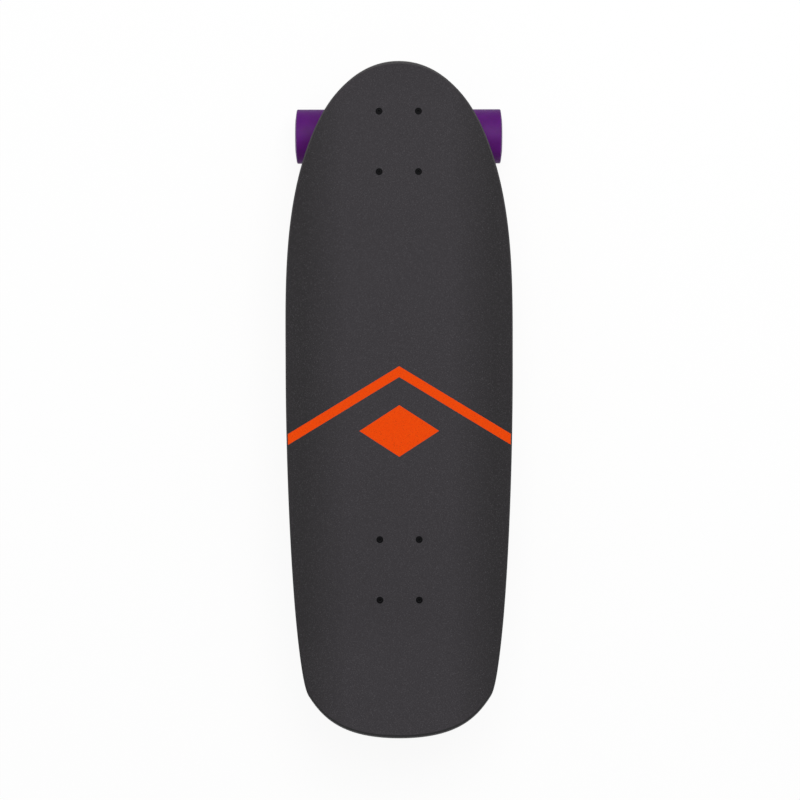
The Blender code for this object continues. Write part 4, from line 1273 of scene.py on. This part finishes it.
stack = {
    "kingpin": draw_kingpin(),
    "lower_washer": draw_cupped_washer(**LOWER_WASHER),
    "upper_washer": draw_cupped_washer(**UPPER_WASHER),
    "kingpin_nut": moved(draw_lock_nut(KINGPIN_CORNER, NUT_SEAT - NUT_BOTTOM,
                                       KINGPIN_RADIUS + THREAD_PLAY),
                         KINGPIN_LEAN @ at(0, 0, NUT_SEAT) @ UPSIDE_DOWN),
}
stack_pieces = [piece for part, drawing in stack.items()
                for piece in set_down_twice(part, drawing, [zinc, nylon])]
tell("Kingpins, washers and nuts", stack_pieces)

# %% [markdown]
# Poured urethane is slightly see-through. A little subsurface light gives it that depth, and a faint mist
# of flow lines keeps it from looking like paint.
# %% Finish and set down the bushings
BARREL_FLANK = [(BUSHING_RADIUS - 0.5, BUSHING_END, 0.9),
                (BUSHING_RADIUS, (BARREL_TOP + BUSHING_END) / 2, 14),
                (BUSHING_RADIUS - 0.5, BARREL_TOP, 0.9)]
CONE_FLANK = [(BUSHING_RADIUS, -BUSHING_END, 0.9), (BUSHING_RADIUS, -BUSHING_END - 3.6, 1.6),
              (CONE_END_RADIUS, CONE_END, 0.8)]


def make_urethane(name, bright, deep, roughness, glow):
    finish = Finish(name, Subsurface_Weight=glow, Subsurface_Scale=2 * MM, Specular_IOR_Level=0.45)
    mist = finish.noise(0.06, 3.0, 0.6)
    fine = finish.noise(1.4, 3.0, 0.6)
    return finish.made(finish.mix(finish.spread(mist), bright, deep),
                       finish.spread(fine, roughness - 0.06, roughness + 0.08), finish.bump(fine, 0.03))


def blend_bushings(part, drawing):
    """The same bushing in both trucks, set in place on no body, because it spans the joint."""
    bushings = []
    for truck in TRUCKS:
        piece = set_down(f"{truck}_{part}", drawing, [orange_urethane],
                         truck_place(truck), rides=False)
        bushings.append(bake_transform(piece))
    return bushings


orange_urethane = make_urethane("orange_urethane", (236, 98, 30), (216, 80, 22), 0.34, 0.25)
barrel = draw_bushing(BARREL_FLANK, range(5, 17, 2))
cone = draw_bushing(CONE_FLANK, range(-13, -4, 2))
tell("Bushings", blend_bushings("lower_bushing", barrel)
     + blend_bushings("upper_bushing", cone))

# %% [markdown]
# ## Pivot cup and riser
# The pivot ball sits in a plastic cup, whose flange shows as a thin ring round the stem. The riser is a
# slab of hard rubber that lifts the truck, so that the wheels clear the deck in a tight turn.
# %% Draw the cup and the riser
CUP_INNER = BALL_RADIUS + 0.08
CUP_FLANGE = 9.5
RISER_HALF = (28.5, 43.5)
RISER = (PLATE_TOP + 0.02, PLATE_TOP + 6.58)
RISER_ROUNDING = 0.7
RISER_PLAY = 0.3
CORNER_ANGLE = math.radians(30)
WINDOW_HALF = (12, 20)
WINDOW_CORNER = 4


def draw_cup():
    flange = [(CUP_FLANGE, -0.02, 0.2), (CUP_FLANGE, -0.9, 0.3), (CUP_INNER, -0.9, 0.2)]
    section = dome(SOCKET_RADIUS - 0.02) + flange + dome(CUP_INNER)[::-1]
    return moved(turned(section, steps=72), AT_BALL)


def draw_riser():
    slab = moved(sawn(rounded_rectangle(*RISER_HALF, PLATE_CORNER), *RISER), AT_PLATE)
    slab.normal_update()
    corners = [edge for edge in slab.edges if edge.calc_face_angle() > CORNER_ANGLE]
    rounded(slab, corners, RISER_ROUNDING, segments=3)
    window = moved(sawn(rounded_rectangle(*WINDOW_HALF, WINDOW_CORNER), 0, PAST_ALL), AT_PLATE)
    return drilled(slab, window, *plate_drills(BOLT_RADIUS + RISER_PLAY, plate_holes(), PAST_ALL))


def make_black(name, dark, light, roughness, relief, size):
    """Plastic or rubber with a grain of the given size, and some dust on it."""
    finish = Finish(name, Specular_IOR_Level=0.4)
    grain = finish.noise(1 / size, 3.0, 0.6)
    dust = finish.noise(0.05, 4.0, 0.65)
    return finish.made(finish.mix(finish.between(dust, 0.5, 0.75, 0.0, 0.6), dark, light),
                       finish.spread(grain, roughness - 0.08, roughness + 0.08),
                       finish.bump(grain, relief))


cup_plastic = make_black("cup_plastic", (26, 26, 28), (48, 48, 50), 0.42, 0.03, 0.7)
riser_rubber = make_black("riser_rubber", (24, 24, 26), (52, 51, 52), 0.66, 0.1, 0.35)
cups = set_down_twice("pivot_cup", draw_cup(), [cup_plastic])
risers = set_down_twice("riser_pad", draw_riser(), [riser_rubber])
tell("Cups and risers", cups + risers)

# %% [markdown]
# ## Axle, washers and nuts
# One steel axle runs through each hanger. A washer and a lock nut at each end hold the wheel.
# %% Draw the axle and what holds the wheels
AXLE_HALF = 110.2
AXLE_THREAD = {"end": 98, "pitch": 1.0, "depth": 0.42}
AXLE_BORE = AXLE_RADIUS + THREAD_PLAY
WASHER = (101.32, 102.5)
AXLE_WASHER_RADIUS = 6.6
AXLE_NUT = (102.52, 109.0)
AXLE_NUT_CORNER = 7.33
SIDES = {"left": -1, "right": 1}


def draw_axle():
    rings = thread(AXLE_RADIUS, AXLE_HALF - 1, **AXLE_THREAD)
    plain = [(AXLE_RADIUS, AXLE_THREAD["end"] - 2), (AXLE_RADIUS, 0)]
    return turned(mirrored([(0, AXLE_HALF), (AXLE_RADIUS - 1, AXLE_HALF)] + rings + plain), steps=64)


def axle_end(truck, side):
    """The place of the axle line at the truck's middle, looking out to one side."""
    centre = truck_place(truck) @ AXLE_LINE
    return at(*centre) @ rotation(side * 90, "Y")


axle_drawing = draw_axle()
washer_drawing = turned([(AXLE_BORE, WASHER[0]), (AXLE_WASHER_RADIUS, WASHER[0], 0.2),
                         (AXLE_WASHER_RADIUS, WASHER[1], 0.3), (AXLE_BORE, WASHER[1])], bored=True)
axle_nut_drawing = moved(draw_lock_nut(AXLE_NUT_CORNER, AXLE_NUT[1] - AXLE_NUT[0], AXLE_BORE),
                         at(0, 0, AXLE_NUT[0]))
axle_pieces = []
for truck in TRUCKS:
    axle_pieces.append(set_down(f"{truck}_axle", axle_drawing, [zinc], axle_end(truck, 1)))
    for hand, side in SIDES.items():
        name = f"{truck}_{hand}_axle"
        place = axle_end(truck, side)
        turn = rotation((len(axle_pieces) + 1) * TURN_BETWEEN)
        axle_pieces.append(set_down(name + "_washer", washer_drawing, [zinc], place))
        axle_pieces.append(set_down(name + "_nut", axle_nut_drawing, [zinc, nylon],
                                    place @ turn))
tell("Axles, washers and nuts", axle_pieces)

# %% [markdown]
# ## Wheels
# A cruiser wheel is soft urethane poured round a hard core. The tread is ground flat, the lips are nearly
# square, and each face dishes in to the core, where the bearing is pressed. The section is spun about the
# axle. Small blind holes in the core let the urethane grip it.
# %% Draw a wheel
WHEEL_RADIUS = 29
WHEEL_HALF = [(9.4, 4.6, 0.3), (11.02, 4.6), (11.02, 12.5, 0.4), (13.4, 13.2, 0.3),
              (15.6, 20.6, 1.6), (16.7, 22.5, 0.8), (18.4, 22.5, 0.9), (22.6, 21.9, 0.3),
              (22.9, 21.55, 0.3), (23.9, 21.4, 0.3), (24.2, 21.68, 0.3), (28.0, 21.1, 0.9),
              (WHEEL_RADIUS, 20.2, 0.6), (WHEEL_RADIUS, 9), (WHEEL_RADIUS, 0)]
CORE_RADIUS = 13.6
CORE_HALF = 13.6
POCKETS = 12
POCKET = {"sides": 16, "radius": 0.62, "low": 12.1, "high": 20}
POCKET_REACH = 12.3
CORE = 1


def draw_wheel():
    pockets = [moved(prism(**POCKET), rotation(number * 360 / POCKETS) @ at(POCKET_REACH, 0, 0))
               for number in range(POCKETS)]
    pockets += [moved(pocket.copy(), UPSIDE_DOWN) for pocket in pockets]
    wheel = drilled(turned(mirrored(WHEEL_HALF), bored=True, steps=128), *pockets)
    for face in wheel.faces:
        middle = face.calc_center_median()
        if math.hypot(middle.x, middle.y) < CORE_RADIUS and abs(middle.z) < CORE_HALF:
            face.material_index = CORE
    return wheel


wheel_drawing = draw_wheel()
print("Wheel:", len(wheel_drawing.faces), "faces")

# %% [markdown]
# The purple is deep and even, a satin surface from the mould with finer rings on the ground tread, and a
# dusty band in its middle where it rolls. Rings follow the wheel because they use its own drawing.
# %% Finish: purple urethane and core


def make_purple():
    finish = Finish("purple_urethane", Subsurface_Weight=0.05, Subsurface_Scale=2 * MM,
                    Specular_IOR_Level=0.14)
    reach, out = finish.turning()
    tread = reach > WHEEL_RADIUS - 0.4
    mist = finish.noise(0.08, 3.0, 0.6)
    fine = finish.noise(1.6, 3.0, 0.6)
    rings = finish.noise(1.0, 3.0, 0.6, vector=finish.vector(out * 2.6, reach * 1.2))
    colour = finish.mix(finish.spread(mist), (89, 17, 116), (81, 14, 104))
    rolled = tread * finish.between(abs(out), 6, 17, 0.3, 0.0) * finish.between(fine, 0.35, 0.65)
    colour = finish.mix(rolled, colour, (94, 36, 116))
    rough = finish.spread(fine, 0.34, 0.46) + tread * 0.12
    return finish.made(colour, rough, finish.bump(rings * 0.6 + fine * 0.4, 0.05))


purple = make_purple()
core_plastic = make_black("core_plastic", (30, 28, 34), (50, 47, 54), 0.4, 0.03, 0.8)
print("Wheel finishes made")

# %% [markdown]
# ## Bearings
# Each wheel turns on two sealed ball bearings. From outside only the rings and the seal between them
# show, so those are drawn: a hardened outer ring, a rubber seal set a little back, and an inner ring that
# runs on as the spacer between the two bearings.
# %% Draw a bearing, and set wheels and bearings down
SPACER_START = 0.08
NEAR = 4.62
FAR = 11.9
INNER_END = 13.1
SEAL = 1
OUTER_RING = [(9.5, NEAR), (11, NEAR, 0.4), (11, FAR, 0.4), (9.9, FAR, 0.15), (9.5, FAR - 0.3)]
INNER_RING = [(AXLE_BORE, SPACER_START), (5.3, SPACER_START, 0.2), (5.3, NEAR), (6.4, NEAR, 0.2),
              (6.4, FAR, 0.25), (5.5, FAR), (5.5, INNER_END, 0.2), (AXLE_BORE, INNER_END, 0.2)]
SEAL_RING = [(6.45, NEAR + 0.3), (9.48, NEAR + 0.3), (9.48, FAR - 0.32, 0.15), (9.1, FAR - 0.32, 0.1),
             (8.9, FAR - 0.5, 0.1), (7.3, FAR - 0.5, 0.1), (7.1, FAR - 0.34, 0.1), (6.45, FAR - 0.34, 0.1)]


def make_bearing_steel():
    finish = Finish("bearing_steel", Metallic=1.0)
    reach, out = finish.turning()
    rings = finish.noise(1.0, vector=finish.vector(reach * 6, out * 6))
    colour = finish.mix(rings, (204, 206, 210), (180, 182, 186))
    return finish.made(colour, finish.spread(rings, 0.14, 0.26), finish.bump(rings, 0.01))


bearing_steel = make_bearing_steel()
seal_rubber = make_black("seal_rubber", (28, 28, 30), (46, 46, 48), 0.5, 0.02, 0.5)
outer, inner, seal = (turned(section, bored=True) for section in (OUTER_RING, INNER_RING, SEAL_RING))
bearing_drawing = gathered(outer, inner, marked(seal, SEAL))
rollers = []
for number, (truck, hand) in enumerate((truck, hand) for truck in TRUCKS for hand in SIDES):
    name = f"{truck}_{hand}"
    place = at_joint(name + "_spin") @ rotation(SIDES[hand] * 90, "Y") @ rotation(number * TURN_BETWEEN)
    rollers.append(set_down(name + "_wheel", wheel_drawing, [purple, core_plastic],
                            place))
    for where, way in (("outer", Matrix()), ("inner", UPSIDE_DOWN)):
        rollers.append(set_down(f"{name}_{where}_bearing", bearing_drawing,
                                [bearing_steel, seal_rubber], place @ way))
tell("Wheels and bearings", rollers)

# %% [markdown]
# ## Studio
# The board is photographed from straight above, about three metres up, on white. It lies a tenth of a
# degree out of true in the picture, so the camera is turned by that. One broad soft light hangs above
# and a little towards the nose, so the filed rim lights up there and stays dark at the tail. The world
# fills in evenly. Camera rays and reflections see plain white. The floor shows them a white that is
# mostly its own, with a share that still takes the shadow, but it throws back little light from below,
# because the photographed wheels are dark on the side away from the light.
# %% Camera, lights and floor
CAMERA_HEIGHT = 3.0991
CAMERA_ASIDE = (0.0008, -0.00206)
CAMERA_TURN = math.radians(-0.115)
LENS = 128.57
SKY_LIGHT = 0.48
SOFTBOX = {"place": (0.2, 0.85, 2.2), "size": 1.5, "power": 31}
FLOOR_SIZE = 30
FLOOR_SHADOW_SHARE = 0.09
WHITE = (1.0, 1.0, 1.0, 1.0)
DULL = (0.36, 0.36, 0.36, 1.0)


def seen_white(wiring, plain, lit):
    """Mixes two shaders: the plain one where the camera, a gloss or a clear thing looks at it."""
    path = wiring.add("ShaderNodeLightPath").socket.node.outputs
    rays = [Signal(wiring, path[f"Is {ray} Ray"]) for ray in ("Camera", "Glossy", "Transmission")]
    return wiring.add("ShaderNodeMixShader", sockets={0: sum(rays), 1: lit, 2: plain})


def make_world():
    world = bpy.data.worlds.new("studio")
    wiring = Wiring(world)
    sky = wiring.add("ShaderNodeBackground", sockets={"Color": WHITE, "Strength": SKY_LIGHT})
    white = wiring.add("ShaderNodeBackground", sockets={"Color": WHITE, "Strength": 1.0})
    wiring.connect(wiring.tree.nodes["World Output"].inputs["Surface"], seen_white(wiring, white, sky))
    bpy.context.scene.world = world


def make_floor():
    """A floor that keeps the shadow, but looks nearly white and throws back little light."""
    bm = bmesh.new()
    bmesh.ops.create_grid(bm, x_segments=1, y_segments=1, size=FLOOR_SIZE / 2)
    mesh = bpy.data.meshes.new("floor")
    bm.to_mesh(mesh)
    bm.free()
    material = bpy.data.materials.new("white_floor")
    wiring = Wiring(material)
    paper = wiring.add("ShaderNodeBsdfDiffuse", sockets={"Color": WHITE})
    glow = wiring.add("ShaderNodeEmission", sockets={"Color": WHITE, "Strength": 1.0})
    plain = wiring.add("ShaderNodeMixShader", sockets={0: FLOOR_SHADOW_SHARE, 1: glow, 2: paper})
    dull = wiring.add("ShaderNodeBsdfDiffuse", sockets={"Color": DULL})
    wiring.connect(wiring.tree.nodes["Material Output"].inputs["Surface"], seen_white(wiring, plain, dull))
    mesh.materials.append(material)
    linked("floor", mesh)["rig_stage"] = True


def make_softbox():
    light = bpy.data.lights.new("softbox", "AREA")
    light.shape = "SQUARE"
    light.size = SOFTBOX["size"]
    light.energy = SOFTBOX["power"]
    softbox = linked("softbox", light)
    softbox.location = SOFTBOX["place"]
    softbox.rotation_euler = (-softbox.location).to_track_quat("-Z", "Y").to_euler()


def make_camera():
    camera = linked("camera", bpy.data.cameras.new("camera"))
    camera.data.sensor_width = 36
    camera.data.lens = LENS
    camera.location = (*CAMERA_ASIDE, CAMERA_HEIGHT)
    camera.rotation_euler = (0, 0, CAMERA_TURN)
    bpy.context.scene.camera = camera


bpy.context.scene.view_settings.view_transform = "Standard"
make_world()
make_floor()
make_softbox()
make_camera()
print("Softbox of", SOFTBOX["power"], "W, sky at", SKY_LIGHT)

# %% [markdown]
# ## The two boxes
# The boxes of the plain model and of the finer pieces are both measured and printed. The
# finer pieces have to stay inside the plain model's box.
# %% Measure and finish
boxes = {"cad": cad_box, "visual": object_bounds()}
boxes = {name: [list(corner) for corner in box] for name, box in boxes.items()}
print(boxes)
